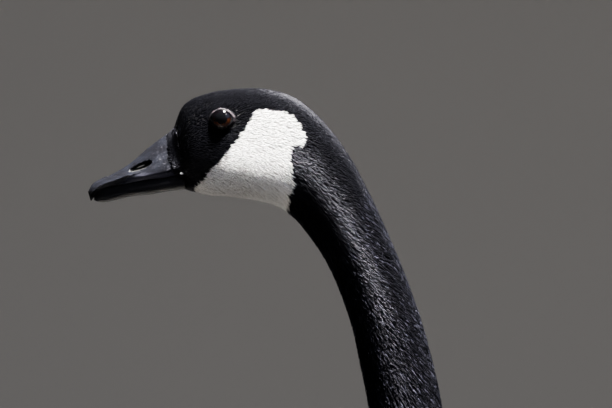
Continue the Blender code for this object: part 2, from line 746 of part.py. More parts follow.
def make_foot(word, side):
    """One webbed foot with its sole flat on the floor, and its claws."""
    root = Vector((leg_x(side) + FOOT_ROOT_X, side * FOOT_SPREAD, 0.0))
    foot = limb(f"foot_{word}", side, FOOT_STOPS, LEG_SKIN)
    pieces = [toe(root, toe_direction(side, t["turn"]), t["length"]) for t in TOES.values()]
    pieces += [hind_toe(side, root), web(side, root)]
    combine(foot, pieces, "UNION")
    beside = FLOOR_BOX["beside"]
    low = (root.x - FLOOR_BOX["ahead"], root.y - beside, -FLOOR_BOX["depth"])
    high = (root.x + FLOOR_BOX["behind"], root.y + beside, 0.0)
    combine(foot, [mesh_box("floor", low, high)], "DIFFERENCE")
    for toe_name, t in TOES.items():
        direction = toe_direction(side, t["turn"])
        claw(f"claw_{word}_{toe_name}", root + direction * (t["length"] + GAP), direction)


def web(side, root):
    """The thin skin between the three front toes, with a hollow front edge in each gap."""
    tips = [root + toe_direction(side, t["turn"]) * t["length"] * WEB_REACH for t in TOES.values()]
    inner_corner, outer_corner = (root + toe_direction(side, turn) * reach for turn, reach in WEB_CORNERS)
    outline = [inner_corner]
    for first, second in zip(tips, tips[1:]):
        for i in range(WEB_EDGE_STEPS):
            share = i / WEB_EDGE_STEPS
            pull = WEB_HOLLOW * math.sin(math.pi * share)
            outline.append(first.lerp(second, share).lerp(root, pull))
    outline += [tips[-1], outer_corner]
    low = [(p.x, p.y, WEB_LOW) for p in outline]
    high = [(p.x, p.y, WEB_HIGH) for p in outline]
    return loft("web", [low, high], LEG_SKIN)


def mesh_box(name, low, high):
    """An upright box between its lowest and its highest corner."""
    (x0, y0, z0), (x1, y1, z1) = low, high
    rings = [[(x0, y0, z), (x1, y0, z), (x1, y1, z), (x0, y1, z)] for z in (z0, z1)]
    return loft(name, rings, LEG_SKIN)


def claw(name, root, direction):
    """A blunt curved claw that goes on from the end of its toe."""
    rings = []
    for share, half_wide, half_high in CLAW_STOPS:
        centre = root + direction * CLAW_LENGTH * share
        centre.z = CLAW_ROOT_HEIGHT - CLAW_DROP * share ** 1.6
        rings.append(toe_ring(centre, direction, half_wide, half_high))
    loft(name, rings, HORN)


def centre_on_floor():
    """Moves the whole goose so that the middle of its box stands over the origin."""
    xs = [v.co.x for obj in goose.objects for v in obj.data.vertices]
    shift = Matrix.Translation((-(min(xs) + max(xs)) / 2, 0.0, 0.0))
    for obj in goose.objects:
        obj.data.transform(shift)
        obj.data.update()


for old in list(bpy.data.objects):
    bpy.data.objects.remove(old)
goose = bpy.data.collections.new("canada_goose")
bpy.context.scene.collection.children.link(goose)
layers = bpy.context.view_layer
layers.active_layer_collection = layers.layer_collection.children[goose.name]

FROM_EYE = np.array([0.0, EYE_HEIGHT, 0.0, EYE_HEIGHT, 0.0, 0.0])
FORM = [np.array(row) + FROM_EYE for row in HEAD_ROWS.values()]
FORM += [np.array(row) for row in BODY_ROWS.values()]
PLACES = {name: place for place, name in enumerate([*HEAD_ROWS, *BODY_ROWS])}

make_head()
make_eyes()
make_bill()
make_neck()
make_torso()
make_wings()
make_tail()
make_legs()
centre_on_floor()
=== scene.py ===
"""The looks of a life-size Canada goose that stands on both feet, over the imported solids.

The goose faces -X and its own left is -Y. Tables are in millimetres with x running backwards from
the eye and z up from the floor, and place_in_frame turns them into the frame's metres.
"""

import math

import bmesh
import bpy
import numpy as np
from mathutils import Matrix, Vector
from mathutils.bvhtree import BVHTree


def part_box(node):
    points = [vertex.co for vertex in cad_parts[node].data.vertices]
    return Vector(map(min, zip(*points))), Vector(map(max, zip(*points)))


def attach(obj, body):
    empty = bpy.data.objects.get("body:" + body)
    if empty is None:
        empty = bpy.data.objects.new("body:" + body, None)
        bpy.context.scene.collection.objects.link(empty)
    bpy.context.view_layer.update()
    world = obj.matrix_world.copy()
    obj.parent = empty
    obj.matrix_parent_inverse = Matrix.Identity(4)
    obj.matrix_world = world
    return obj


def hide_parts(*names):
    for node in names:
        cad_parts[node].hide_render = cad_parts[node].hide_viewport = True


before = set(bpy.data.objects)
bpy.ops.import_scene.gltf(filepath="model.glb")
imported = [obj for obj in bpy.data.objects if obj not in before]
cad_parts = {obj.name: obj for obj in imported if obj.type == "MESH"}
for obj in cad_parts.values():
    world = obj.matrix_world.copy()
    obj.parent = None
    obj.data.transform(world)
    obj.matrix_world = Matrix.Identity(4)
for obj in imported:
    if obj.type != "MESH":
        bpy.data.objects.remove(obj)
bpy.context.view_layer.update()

# The skin under the plumage: one closed form from the bill's root to the tail's root. It has the
# same rows as the solids that it stands for, and lies inside them by the depth of the feathers.
# The real one is thin skin over fat and muscle; here and there it shows dark between the feathers.
MM = 0.001
EYE_HEIGHT = 800.0
SIDES = {"left": -1, "right": 1}
eye_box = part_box("eye_left")
EYE_X = (eye_box[0].x + eye_box[1].x) / 2

# Head and neck, each row from the eye: the back line's x and z, the throat line's x and z, the half
# width, and how far the widest place sags below the middle.
HEAD_ROWS = {
    "bill_base": (-25.0, -4.3, -20.0, -35.2, 13.6, 0.30),
    "forehead": (-19.6, 7.7, -13.0, -37.1, 16.4, 0.22),
    "brow": (-7.8, 13.3, -5.0, -38.8, 19.0, 0.16),
    "eye": (8.4, 15.7, 5.0, -39.3, 21.0, 0.14),
    "crown": (23.0, 15.3, 16.0, -41.0, 22.4, 0.14),
    "cheek": (37.5, 10.3, 25.2, -43.1, 22.2, 0.12),
    "nape": (51.5, -1.8, 33.0, -47.6, 20.6, 0.08),
    "throat": (64.5, -19.3, 41.0, -55.8, 18.6, 0.03),
    "neck_top": (78.2, -46.1, 53.0, -73.8, 17.5, 0.0),
    "neck_bend": (93.8, -82.9, 63.1, -99.0, 17.3, 0.0),
    "neck_slope": (104.4, -116.2, 69.0, -124.0, 17.7, 0.0),
}
# Lower neck and body, each row from the floor, with the same six numbers.
BODY_ROWS = {
    "neck_middle": (112.5, 645.0, 75.0, 641.0, 18.4, 0.0),
    "neck_low": (119.5, 585.0, 79.0, 583.0, 20.0, 0.0),
    "neck_foot": (122.5, 532.0, 76.5, 530.0, 22.8, 0.0),
    "shoulder_notch": (127.0, 492.0, 66.0, 485.0, 29.0, 0.0),
    "neck_base": (136.0, 463.0, 49.0, 443.0, 41.0, 0.0),
    "breast_top": (150.0, 446.0, 29.0, 403.0, 57.0, 0.02),
    "breast": (169.0, 436.0, 18.0, 352.0, 73.0, 0.04),
    "keel_front": (193.0, 431.0, 30.0, 294.0, 87.0, 0.06),
    "keel": (222.0, 427.0, 78.0, 240.0, 95.0, 0.08),
    "belly_front": (256.0, 421.0, 150.0, 212.0, 99.0, 0.10),
    "belly": (296.0, 411.0, 232.0, 205.0, 99.0, 0.10),
    "belly_back": (338.0, 396.0, 306.0, 213.0, 92.0, 0.08),
    "vent": (379.0, 377.0, 365.0, 233.0, 76.0, 0.05),
    "rump": (418.0, 354.0, 414.0, 258.0, 55.0, 0.03),
    "tail_root": (452.0, 333.0, 452.0, 283.0, 38.0, 0.0),
}
from_eye = np.array([0.0, EYE_HEIGHT, 0.0, EYE_HEIGHT, 0.0, 0.0])
FORM = np.array([np.array(row) + from_eye for row in HEAD_ROWS.values()] + list(BODY_ROWS.values()))
PLACES = {name: place for place, name in enumerate([*HEAD_ROWS, *BODY_ROWS])}
LAST_PLACE = len(FORM) - 1
# How deep the feathers are, from the bill to the tail, at places along the form.
COAT_PLACES = (0, 2, 7, 12, 15, 17, 21, 25)
COAT_DEPTHS = (1.2, 1.5, 2.0, 2.6, 4.0, 5.5, 5.5, 3.0)


def spline(rows, place):
    """The rows' numbers at each of many places, on a smooth curve through all the rows."""
    last = len(rows) - 1
    i = np.clip(np.floor(place).astype(int), 0, last - 1)
    t = (place - i)[..., None]
    padded = np.vstack([2 * rows[0] - rows[1], rows, 2 * rows[-1] - rows[-2]])
    before, start, end, after = (padded[i + k] for k in range(4))
    return 0.5 * (
        2 * start
        + (end - before) * t
        + (2 * before - 5 * start + 4 * end - after) * t ** 2
        + (3 * start - before - 3 * end + after) * t ** 3
    )


def coat_depth(place):
    return np.interp(place, COAT_PLACES, COAT_DEPTHS)


def body_surface(place, turn, lift):
    """Points of the plumage's outer form, in millimetres: turn 0 is the back and pi the throat, a
    negative turn is on the goose's left, and lift stands out from the form."""
    row = spline(FORM, place)
    middle = (row[..., 0:2] + row[..., 2:4]) / 2
    up = (row[..., 0:2] - row[..., 2:4]) / 2
    up = up * (1 + lift / np.linalg.norm(up, axis=-1))[..., None]
    rise = np.cos(turn) - row[..., 5] * np.sin(turn) ** 2
    side = (row[..., 4] + lift) * np.sin(turn)
    x, z = np.moveaxis(middle + up * rise[..., None], -1, 0)
    return np.stack([x, side, z], axis=-1)


def place_in_frame(points):
    """Millimetres of the tables as metres of the frame."""
    return np.asarray(points, float) * MM + np.array([EYE_X, 0.0, 0.0])


def colour(hex_value):
    """An sRGB hex colour as linear red, green, blue and alpha."""
    parts = [int(hex_value[i : i + 2], 16) / 255 for i in (0, 2, 4)]
    return (*[p / 12.92 if p <= 0.04045 else ((p + 0.055) / 1.055) ** 2.4 for p in parts], 1.0)


def add_node(tree, kind, settings=None, inputs=None, links=None, stops=()):
    """Adds one shader or geometry node with its settings, input values and links into its inputs. A
    ramp's stops are positions with hex colours."""
    node = tree.nodes.new(kind)
    for key, value in (settings or {}).items():
        setattr(node, key, value)
    for key, value in (inputs or {}).items():
        node.inputs[key].default_value = value
    for key, source in (links or {}).items():
        tree.links.new(source, node.inputs[key])
    for number, (position, tone) in enumerate(stops):
        ramp = node.color_ramp.elements
        stop = ramp[number] if number < len(ramp) else ramp.new(position)
        stop.position = position
        stop.color = colour(tone)
    return node


def new_material(name, **inputs):
    """An empty material with one Principled shader, whose inputs are given by name."""
    material = bpy.data.materials.new(name)
    material.use_nodes = True
    tree = material.node_tree
    tree.nodes.clear()
    shader = add_node(tree, "ShaderNodeBsdfPrincipled", inputs=inputs)
    add_node(tree, "ShaderNodeOutputMaterial", links={"Surface": shader.outputs["BSDF"]})
    return material, tree, shader


def add_object(name, data):
    """A new object of the scene, at the origin, for a mesh, a lamp or a camera."""
    added = bpy.data.objects.new(name, data)
    bpy.context.scene.collection.objects.link(added)
    return added


def set_attribute(mesh, name, kind, values):
    """Gives a mesh one value at each point: FLOAT, FLOAT_VECTOR or FLOAT_COLOR."""
    field = {"FLOAT": "value", "FLOAT_VECTOR": "vector", "FLOAT_COLOR": "color"}[kind]
    data = mesh.attributes.new(name, kind, "POINT").data
    data.foreach_set(field, np.asarray(values, np.float32).ravel())


def apply_modifiers(piece):
    """Keeps the result of a piece's modifiers as its own mesh."""
    graph = bpy.context.evaluated_depsgraph_get()
    result = bpy.data.meshes.new_from_object(piece.evaluated_get(graph))
    piece.modifiers.clear()
    piece.data = result


def new_piece(name, points, faces, material):
    """A smooth mesh object of points in metres, with its faces turned outwards."""
    mesh = bpy.data.meshes.new(name)
    mesh.from_pydata([tuple(p) for p in points], [], faces)
    work = bmesh.new()
    work.from_mesh(mesh)
    bmesh.ops.recalc_face_normals(work, faces=work.faces)
    work.to_mesh(mesh)
    work.free()
    mesh.polygons.foreach_set("use_smooth", [True] * len(mesh.polygons))
    mesh.materials.append(material)
    return add_object(name, mesh)


def grid(places, turns):
    """Every pairing of some places with some turns, as two flat arrays."""
    return (side.ravel() for side in np.meshgrid(places, turns, indexing="ij"))


def whole_circle(count):
    """Evenly spaced angles once round, the last short of the first."""
    return np.linspace(0, 2 * math.pi, count, endpoint=False)


def ring_faces(rings, sides):
    """Faces of a body through rings of equally many points, closed at both ends."""
    faces = []
    for r in range(rings - 1):
        for i in range(sides):
            j = (i + 1) % sides
            faces.append((r * sides + i, r * sides + j, (r + 1) * sides + j, (r + 1) * sides + i))
    return faces + [tuple(range(sides)), tuple(range((rings - 1) * sides, rings * sides))]


# The markings, shared by skin and feathers: a white chin strap on a black head and neck, a pale
# breast, brown back and flanks, a white belly, and a white band over the black tail. The strap's
# outline is read from the photo in its 612 x 408 pixels, as named values.
PHOTO_MM = 0.504
PHOTO_EYE = (222.9, 119.5)
CHEEK_OUTLINE = (
    (255.1, 110.6), (263.0, 108.6), (271.3, 109.7), (283.0, 110.8), (293.3, 115.4), (300.0, 125.0),
    (305.0, 136.4), (302.9, 145.0), (291.8, 148.0), (290.2, 158.0), (291.4, 171.0), (293.8, 188.0),
    (288.0, 198.6), (286.5, 212.0), (240.0, 206.0), (196.0, 196.0), (195.7, 189.5), (206.3, 178.5),
    (213.0, 169.0), (227.3, 153.7), (241.7, 134.5), (251.2, 118.3),
)
BLACK = "050507"
STRAP_WHITE = "faf8f3"
BREAST_PALE = "978b7c"
FLANK_BROWN = "66584b"
BACK_BROWN = "352c26"
RUMP_BLACK = "17161a"
BELLY_WHITE = "efebe2"
# Where colours change along the body: the place where the next one starts, and how far it fades in.
FLANK_PLACES = (17.2, 2.4)
RUMP_PLACES = (21.5, 1.4)
BELLY_PLACES = (18.6, 2.6)
VENT_PLACES = (21.6, 1.0)
# The same across the body, in angles from the back; below the last one all is white at the vent.
BACK_TURNS = (math.radians(78), math.radians(28))
BELLY_TURNS = (math.radians(118), math.radians(30))
VENT_TURN = math.radians(66)
COLLAR_PLACE = 14.55


def from_photo(pixels):
    """The table x and z in millimetres of places given in the photo's pixels."""
    pixels = np.asarray(pixels, float)
    x = (pixels[..., 0] - PHOTO_EYE[0]) * PHOTO_MM
    z = EYE_HEIGHT + (PHOTO_EYE[1] - pixels[..., 1]) * PHOTO_MM
    return np.stack([x, z], axis=-1)


def inside_outline(points, outline):
    """Which of many side-view points lie inside a closed outline."""
    found = np.zeros(len(points), bool)
    for (x1, z1), (x2, z2) in zip(outline, np.roll(outline, -1, axis=0)):
        crosses = (z1 > points[:, 1]) != (z2 > points[:, 1])
        with np.errstate(divide="ignore", invalid="ignore"):
            at = (x2 - x1) * (points[:, 1] - z1) / (z2 - z1) + x1
        found ^= crosses & (points[:, 0] < at)
    return found


def on_strap(points):
    """Which of many points, in millimetres, lie on the white strap."""
    return inside_outline(points[:, [0, 2]], from_photo(CHEEK_OUTLINE))


def markings(place, turn, points):
    """The plumage's colour at each of many places, linear red, green and blue."""
    steep = np.abs(np.angle(np.exp(1j * turn)))
    tones = {name: np.array(colour(name)[:3]) for name in (
        BLACK, STRAP_WHITE, BREAST_PALE, FLANK_BROWN, BACK_BROWN, RUMP_BLACK, BELLY_WHITE)}

    def blend(first, second, share):
        share = np.clip(share, 0, 1)[:, None]
        return first + (second - first) * share * share * (3 - 2 * share)

    def past(value, edge):
        return (value - edge[0]) / edge[1]

    sides = blend(tones[BREAST_PALE], tones[FLANK_BROWN], past(place, FLANK_PLACES))
    top = blend(sides, tones[BACK_BROWN], -past(steep, BACK_TURNS))
    top = blend(top, tones[RUMP_BLACK], past(place, RUMP_PLACES))
    low_share = past(steep, BELLY_TURNS) * np.clip(past(place, BELLY_PLACES), 0, 1)
    low = blend(top, tones[BELLY_WHITE], low_share)
    body = blend(low, tones[BELLY_WHITE], past(place, VENT_PLACES) * (steep > VENT_TURN))
    found = np.where((place < COLLAR_PLACE)[:, None], tones[BLACK], body)
    found[on_strap(points) & (place < PLACES["neck_bend"])] = tones[STRAP_WHITE]
    return found


SKIN_START = -0.15
SKIN_RINGS = 240
SKIN_SIDES = 72

goose_skin, tree, shader = new_material(
    "goose_skin", **{"Roughness": 0.8, "Specular IOR Level": 0.2}
)
# Skin stained by the down over it: the markings' colour, darkened as it lies in the feathers' shade.
tint = add_node(tree, "ShaderNodeAttribute", {"attribute_name": "tint"})
shade = add_node(
    tree, "ShaderNodeMix", {"data_type": "RGBA", "blend_type": "MULTIPLY"},
    {"Factor": 1.0, "B": (0.55, 0.52, 0.50, 1.0)}, {"A": tint.outputs["Color"]},
)
tree.links.new(shade.outputs["Result"], shader.inputs["Base Color"])

grid_place, grid_turn = grid(np.linspace(SKIN_START, LAST_PLACE, SKIN_RINGS), whole_circle(SKIN_SIDES))
skin_points = body_surface(grid_place, grid_turn, -coat_depth(grid_place))
skin_faces = ring_faces(SKIN_RINGS, SKIN_SIDES)
skin = new_piece("goose_skin", place_in_frame(skin_points), skin_faces, goose_skin)
skin_tones = markings(grid_place, grid_turn, skin_points)
set_attribute(skin.data, "tint", "FLOAT_COLOR", np.hstack([skin_tones, np.ones((len(skin_tones), 1))]))
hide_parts("head", "neck_upper", "neck_middle", "neck_lower", "torso")
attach(skin, "root")

# The bill: horn over bone, slate black with a soft sheen, in two halves that meet along the mouth
# line. The upper half carries the nail at its tip and the nostrils, which open right through.
# Rows from the eye: the ridge's x and z, the mouth line's x and z, the half width.
UPPER_BILL = np.array([
    (-23.0, -4.2, -19.5, -26.9, 13.0),
    (-30.0, -8.6, -28.6, -29.2, 12.6),
    (-38.4, -14.9, -37.0, -30.2, 11.9),
    (-46.9, -22.2, -46.0, -31.9, 11.1),
    (-54.6, -26.9, -54.0, -33.9, 10.2),
    (-61.2, -30.3, -60.2, -35.4, 8.8),
    (-65.7, -33.0, -64.7, -39.4, 6.4),
    (-68.0, -36.9, -66.5, -41.6, 3.0),
])
LOWER_BILL = np.array([
    (-19.6, -26.9, -18.6, -35.2, 11.6),
    (-28.6, -29.0, -28.4, -36.2, 11.3),
    (-37.0, -30.0, -37.0, -37.7, 10.6),
    (-46.0, -31.7, -46.0, -38.7, 9.7),
    (-54.0, -33.4, -54.0, -40.5, 8.7),
    (-59.5, -34.2, -59.3, -41.6, 7.8),
    (-62.8, -35.0, -62.6, -41.5, 6.2),
    (-65.0, -36.6, -64.8, -40.7, 3.4),
])
# The half outline across: the height from the mouth line to the ridge, and the share of the width.
# In front the flank stands steep up to a crest, and at the base it rounds in from a low shoulder.
UPPER_FRONT = np.array([
    (0.0, 0.85), (0.14, 0.90), (0.34, 0.98), (0.41, 0.99), (0.56, 0.78), (0.82, 0.46), (1.0, 0.0),
])
UPPER_BASE = np.array([
    (0.0, 0.90), (0.10, 0.98), (0.18, 1.0), (0.36, 0.90), (0.60, 0.66), (0.84, 0.42), (1.0, 0.0),
])
# The lower half's, from its underside up to the mouth line.
LOWER_ACROSS = np.array([
    (0.0, 0.70), (0.06, 0.84), (0.25, 0.95), (0.55, 1.0), (0.85, 0.97), (1.0, 0.90),
])
# Between these two places the flank turns from the one to the other.
CREST_BACK, CREST_FRONT = -40.0, -50.0
BILL_STEPS = 140
BILL_ACROSS = 30
NAIL_START = -58.5
NAIL = {"bow": 0.10, "edge": 0.35, "height": 0.55, "groove_width": 0.5, "groove_depth": 0.22}
NOSTRIL = {
    "x": -41.4, "z": -23.6, "half_length": 6.5, "half_height": 1.9, "tilt": math.radians(22),
    "hollow": 0.45, "hollow_reach": 0.9, "hollow_width": 0.55,
}
# The side-view lines of the rim under the nostril and of the sharp crest that runs on to the nail.
FRONT_CREST = ((-64.6, -35.0), (-61.0, -33.9), (-56.4, -32.4), (-50.6, -30.2))
NOSTRIL_RIM = (
    (-49.5, -29.1), (-45.7, -27.7), (-42.2, -26.5), (-38.8, -24.5), (-35.3, -22.3), (-32.0, -20.4),
)
# How wide and how high each line stands.
RIM_RELIEF, CREST_RELIEF = (0.65, 0.75), (0.6, 0.45)
TO_OTHER_SIDE = np.array([1.0, -1.0, 1.0])


def bill_ring(rows, across_at):
    """The right side of one half of the bill, ring by ring, between the rows' two lines."""
    row = spline(rows, np.linspace(0, len(rows) - 1, BILL_STEPS))[:, None, :]
    height, wide = np.moveaxis(across_at(row[..., 0]), -1, 0)
    x, z = (row[..., k + 2] + (row[..., k] - row[..., k + 2]) * height for k in (0, 1))
    return np.stack([x, np.clip(row[..., 4], 0.3, None) * wide, z], axis=-1)


def bill_piece(name, ring, material):
    """One half of the bill from its rings, which are in millimetres from the eye."""
    points = place_in_frame((ring + np.array([0.0, 0.0, EYE_HEIGHT])).reshape(-1, 3))
    return new_piece(name, points, ring_faces(BILL_STEPS, ring.shape[1]), material)


def upper_across(x):
    """The upper bill's half outline at each x, from the front's to the base's."""
    share = np.linspace(0, len(UPPER_BASE) - 1, BILL_ACROSS)
    front, base = spline(UPPER_FRONT, share), spline(UPPER_BASE, share)
    forward = np.clip((CREST_BACK - x) / (CREST_BACK - CREST_FRONT), 0, 1)[..., None]
    return base + (front - base) * forward * forward * (3 - 2 * forward)


def lower_across(x):
    """The lower bill's half outline, the same at each x."""
    outline = spline(LOWER_ACROSS, np.linspace(0, len(LOWER_ACROSS) - 1, BILL_ACROSS))[::-1]
    return np.broadcast_to(outline, (*x.shape[:1], BILL_ACROSS, 2))


def near_line(x, z, line, width):
    """How near places are to a side-view line: 1 on it, falling off over the width."""
    best = np.full(x.shape, np.inf)
    for (x1, z1), (x2, z2) in zip(line, line[1:]):
        squared = (x2 - x1) ** 2 + (z2 - z1) ** 2
        run = np.clip(((x - x1) * (x2 - x1) + (z - z1) * (z2 - z1)) / squared, 0, 1)
        best = np.minimum(best, np.hypot(x - x1 - run * (x2 - x1), z - z1 - run * (z2 - z1)))
    return np.exp(-((best / width) ** 2))


def upper_relief(points):
    """Millimetres added to the upper bill: the nail's raised plate, the hollow round the nostril, the
    rim below it and the crest ahead of that."""
    x, y, z = np.moveaxis(points, -1, 0)
    out = np.zeros(points.shape)
    behind = x - NAIL_START - NAIL["bow"] * y ** 2
    nail = 1 / (1 + np.exp(behind / NAIL["edge"]))
    groove = np.exp(-((behind - NAIL["groove_width"]) / NAIL["groove_width"]) ** 2)
    out[..., 2] += NAIL["height"] * nail - NAIL["groove_depth"] * groove
    dx, dz = x - NOSTRIL["x"], z - NOSTRIL["z"]
    run = dx * math.cos(NOSTRIL["tilt"]) + dz * math.sin(NOSTRIL["tilt"])
    rise = -dx * math.sin(NOSTRIL["tilt"]) + dz * math.cos(NOSTRIL["tilt"])
    reach = np.sqrt((run / NOSTRIL["half_length"]) ** 2 + (rise / NOSTRIL["half_height"]) ** 2)
    hollow = np.exp(-(((reach - NOSTRIL["hollow_reach"]) / NOSTRIL["hollow_width"]) ** 2))
    hollow = hollow * NOSTRIL["hollow"]
    rim = near_line(x, z, NOSTRIL_RIM, RIM_RELIEF[0]) * RIM_RELIEF[1]
    crest = near_line(x, z, FRONT_CREST, CREST_RELIEF[0]) * CREST_RELIEF[1]
    out[..., 1] += np.sign(y) * (rim - hollow + crest)
    return out


bill_horn, tree, shader = new_material(
    "bill_horn", **{"Roughness": 0.42, "Specular Tint": colour("dcddec")}
)
# Horn that grows forward in thin sheets: slate black, paler and rougher in scurfy flecks at the
# base, with fine cracks and pores every half millimetre.
where = add_node(tree, "ShaderNodeTexCoord")
flecks = add_node(
    tree, "ShaderNodeTexNoise", None, {"Scale": 900.0, "Detail": 5.0, "Roughness": 0.65},
    {"Vector": where.outputs["Object"]},
)
patches = add_node(
    tree, "ShaderNodeTexNoise", None, {"Scale": 160.0, "Detail": 3.0}, {"Vector": where.outputs["Object"]}
)
patch_ramp = add_node(
    tree, "ShaderNodeValToRGB", links={"Fac": patches.outputs["Fac"]},
    stops=((0.35, "09090c"), (0.75, "101116")),
)
fleck_ramp = add_node(
    tree, "ShaderNodeValToRGB", links={"Fac": flecks.outputs["Fac"]},
    stops=((0.54, "000000"), (0.66, "ffffff")),
)
# The horn's points carry scurf, a painted sheen on the flanks and painted shade at the front.
worn, painted_sheen, painted_shade = (
    add_node(tree, "ShaderNodeAttribute", {"attribute_name": word})
    for word in ("worn", "painted_sheen", "painted_shade")
)
worn_flecks = add_node(
    tree, "ShaderNodeMath", {"operation": "MULTIPLY"},
    links={0: fleck_ramp.outputs["Color"], 1: worn.outputs["Fac"]},
)
# Over the patches: pale flecks where the horn is worn, then painted light: a painted sheen of slate grey
# on the flanks, and painted shade in dull black at the front.
horn_colour = patch_ramp.outputs["Color"]
for share, tone in (
    (worn_flecks.outputs["Value"], "7b7984"),
    (painted_sheen.outputs["Fac"], "2b2b33"),
    (painted_shade.outputs["Fac"], "050506"),
):
    layer = add_node(
        tree, "ShaderNodeMix", {"data_type": "RGBA"}, {"B": colour(tone)},
        {"Factor": share, "A": horn_colour},
    )
    horn_colour = layer.outputs["Result"]
tree.links.new(horn_colour, shader.inputs["Base Color"])
# Less gloss where the painted shade lies at the front.
gloss = add_node(
    tree, "ShaderNodeMapRange", None, {"To Min": 0.055, "To Max": 0.03}, {"Value": painted_shade.outputs["Fac"]}
)
tree.links.new(gloss.outputs["Result"], shader.inputs["Specular IOR Level"])
pits = add_node(
    tree, "ShaderNodeBump", None, {"Strength": 0.35, "Distance": 0.0004},
    {"Height": flecks.outputs["Fac"]},
)
tree.links.new(pits.outputs["Normal"], shader.inputs["Normal"])

# The lower half's horn: smoother and black.
lower_horn = new_material(
    "lower_horn", **{"Roughness": 0.45, "Specular IOR Level": 0.12, "Base Color": colour("0d0d10")}
)[0]
# The nostril's lining: moist black skin.
nostril_lining = new_material("nostril_lining", **{"Roughness": 0.6, "Base Color": colour("050506")})[0]

upper_right = bill_ring(UPPER_BILL, upper_across)
upper_ring = np.concatenate([upper_right, upper_right[:, -2::-1] * TO_OTHER_SIDE], axis=1)
bill_upper = bill_piece("bill_upper_horn", upper_ring + upper_relief(upper_ring), bill_horn)
lower_right = bill_ring(LOWER_BILL, lower_across)
lower_ring = np.concatenate([lower_right, lower_right[:, ::-1] * TO_OTHER_SIDE], axis=1)
bill_lower = bill_piece("bill_lower_horn", lower_ring, lower_horn)

# Each nostril narrows inwards to a slit in the wall between them: y, and the share of full size.
NOSTRIL_DEPTHS = ((-16.0, 1.0), (-7.4, 1.0), (-5.5, 0.82), (-2.5, 0.45), (0.0, 0.33))
# Towards the slit the opening loses height faster than length.
SLIT_POWER = 1.8
NOSTRIL_SIDES = 40
depths = [*NOSTRIL_DEPTHS, *((-y, size) for y, size in NOSTRIL_DEPTHS[-2::-1])]
around = whole_circle(NOSTRIL_SIDES)
nostril_points = []
for y, size in depths:
    run = NOSTRIL["half_length"] * size * np.cos(around)
    rise = NOSTRIL["half_height"] * size ** SLIT_POWER * np.sin(around)
    nostril_points.append(np.stack([
        NOSTRIL["x"] + run * math.cos(NOSTRIL["tilt"]) - rise * math.sin(NOSTRIL["tilt"]),
        np.full(NOSTRIL_SIDES, y),
        EYE_HEIGHT + NOSTRIL["z"] + run * math.sin(NOSTRIL["tilt"]) + rise * math.cos(NOSTRIL["tilt"]),
    ], axis=-1))
nostril_cutter = new_piece(
    "nostril_cutter", place_in_frame(np.concatenate(nostril_points)),
    ring_faces(len(depths), NOSTRIL_SIDES), nostril_lining,
)
cut = bill_upper.modifiers.new("nostrils", "BOOLEAN")
cut.operation = "DIFFERENCE"
cut.solver = "EXACT"
cut.material_mode = "TRANSFER"
cut.object = nostril_cutter
apply_modifiers(bill_upper)
bpy.data.objects.remove(nostril_cutter)


def fades_from(spots, centre, reach):
    """How near points are to a side-view place: 1 at it, falling off over its reach in x and z."""
    x, z = (spots[:, 0] - centre[0]) / reach[0], (spots[:, 2] - centre[1]) / reach[1]
    return np.exp(-(x ** 2 + z ** 2))


# Scurf on the horn: along the feathers' edge, most at the ridge and at the gape.
for piece, node in ((bill_upper, "bill_upper"), (bill_lower, "bill_lower")):
    spots = np.array([v.co for v in piece.data.vertices]) / MM - np.array([EYE_X / MM, 0.0, EYE_HEIGHT])
    edge = np.clip((spots[:, 0] + 34.0) / 9.0, 0, 1)
    ridge = fades_from(spots, (-26.5, -6.5), (2.4, 2.8))
    gape = fades_from(spots, (-21.5, -27.0), (3.5, 2.2))
    set_attribute(piece.data, "worn", "FLOAT", np.clip(0.03 + 0.12 * edge + 0.9 * ridge + gape, 0, 1))
    # Painted light on the horn below the crest: painted shade in dull black in front, and a painted sheen
    # of slate grey from there to the gape.
    crest = np.interp(spots[:, 0], *zip(*FRONT_CREST, *NOSTRIL_RIM))
    below = np.clip((crest - 0.5 - spots[:, 2]) / 0.8, 0, 1)
    in_front = np.clip((-46.0 - spots[:, 0]) / 10.0, 0, 1)
    painted_sheen_share = below * (1 - in_front) * np.clip((-26.5 - spots[:, 2]) / 2.0, 0, 1)
    set_attribute(piece.data, "painted_shade", "FLOAT", below * in_front)
    set_attribute(piece.data, "painted_sheen", "FLOAT", painted_sheen_share)
    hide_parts(node)
    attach(piece, "root")

# The gape: a small fold of bare pale skin at each corner of the mouth.
GAPE = {"centre": (-20.5, 13.2, -27.3), "half_sizes": (0.85, 0.45, 0.5)}
gape_skin = new_material("gape_skin", **{"Roughness": 0.45, "Base Color": colour("cfc3c2")})[0]
for gape_word, gape_side in SIDES.items():
    fold = bmesh.new()
    bmesh.ops.create_uvsphere(fold, u_segments=24, v_segments=12, radius=1.0)
    fold_points = np.array([v.co for v in fold.verts]) * GAPE["half_sizes"] + GAPE["centre"]
    fold_points = fold_points * (1, gape_side, 1) + (0, 0, EYE_HEIGHT)
    # The sphere's faces come in an order that changes from run to run, so they are put in a fixed one.
    loops = [[v.index for v in face.verts] for face in fold.faces]
    fold_faces = sorted(loop[loop.index(min(loop)):] + loop[:loop.index(min(loop))] for loop in loops)
    fold.free()
    gape_fold = new_piece(f"gape_fold_{gape_word}", place_in_frame(fold_points), fold_faces, gape_skin)
    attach(gape_fold, "root")

# The eyes: glossy dark globes with a deep brown iris round a black pupil, each in a thin bare lid
# of grey-pink skin that closes over the edge of the globe.
EYE_RADIUS = 6.2
EYE_OFFSET = 15.7
EYE_TURN = math.radians(6)
EYE_TILT = 0.04
IRIS_RADIUS = 4.9
PUPIL_RADIUS = 3.1
# Half the width of the step between pupil and iris, and of the iris's dark rim.
PUPIL_EDGE, IRIS_RIM = 0.02, 0.09
EYE_RINGS, EYE_SIDES = 24, 48
LID_OPENING = (5.2, 4.55)
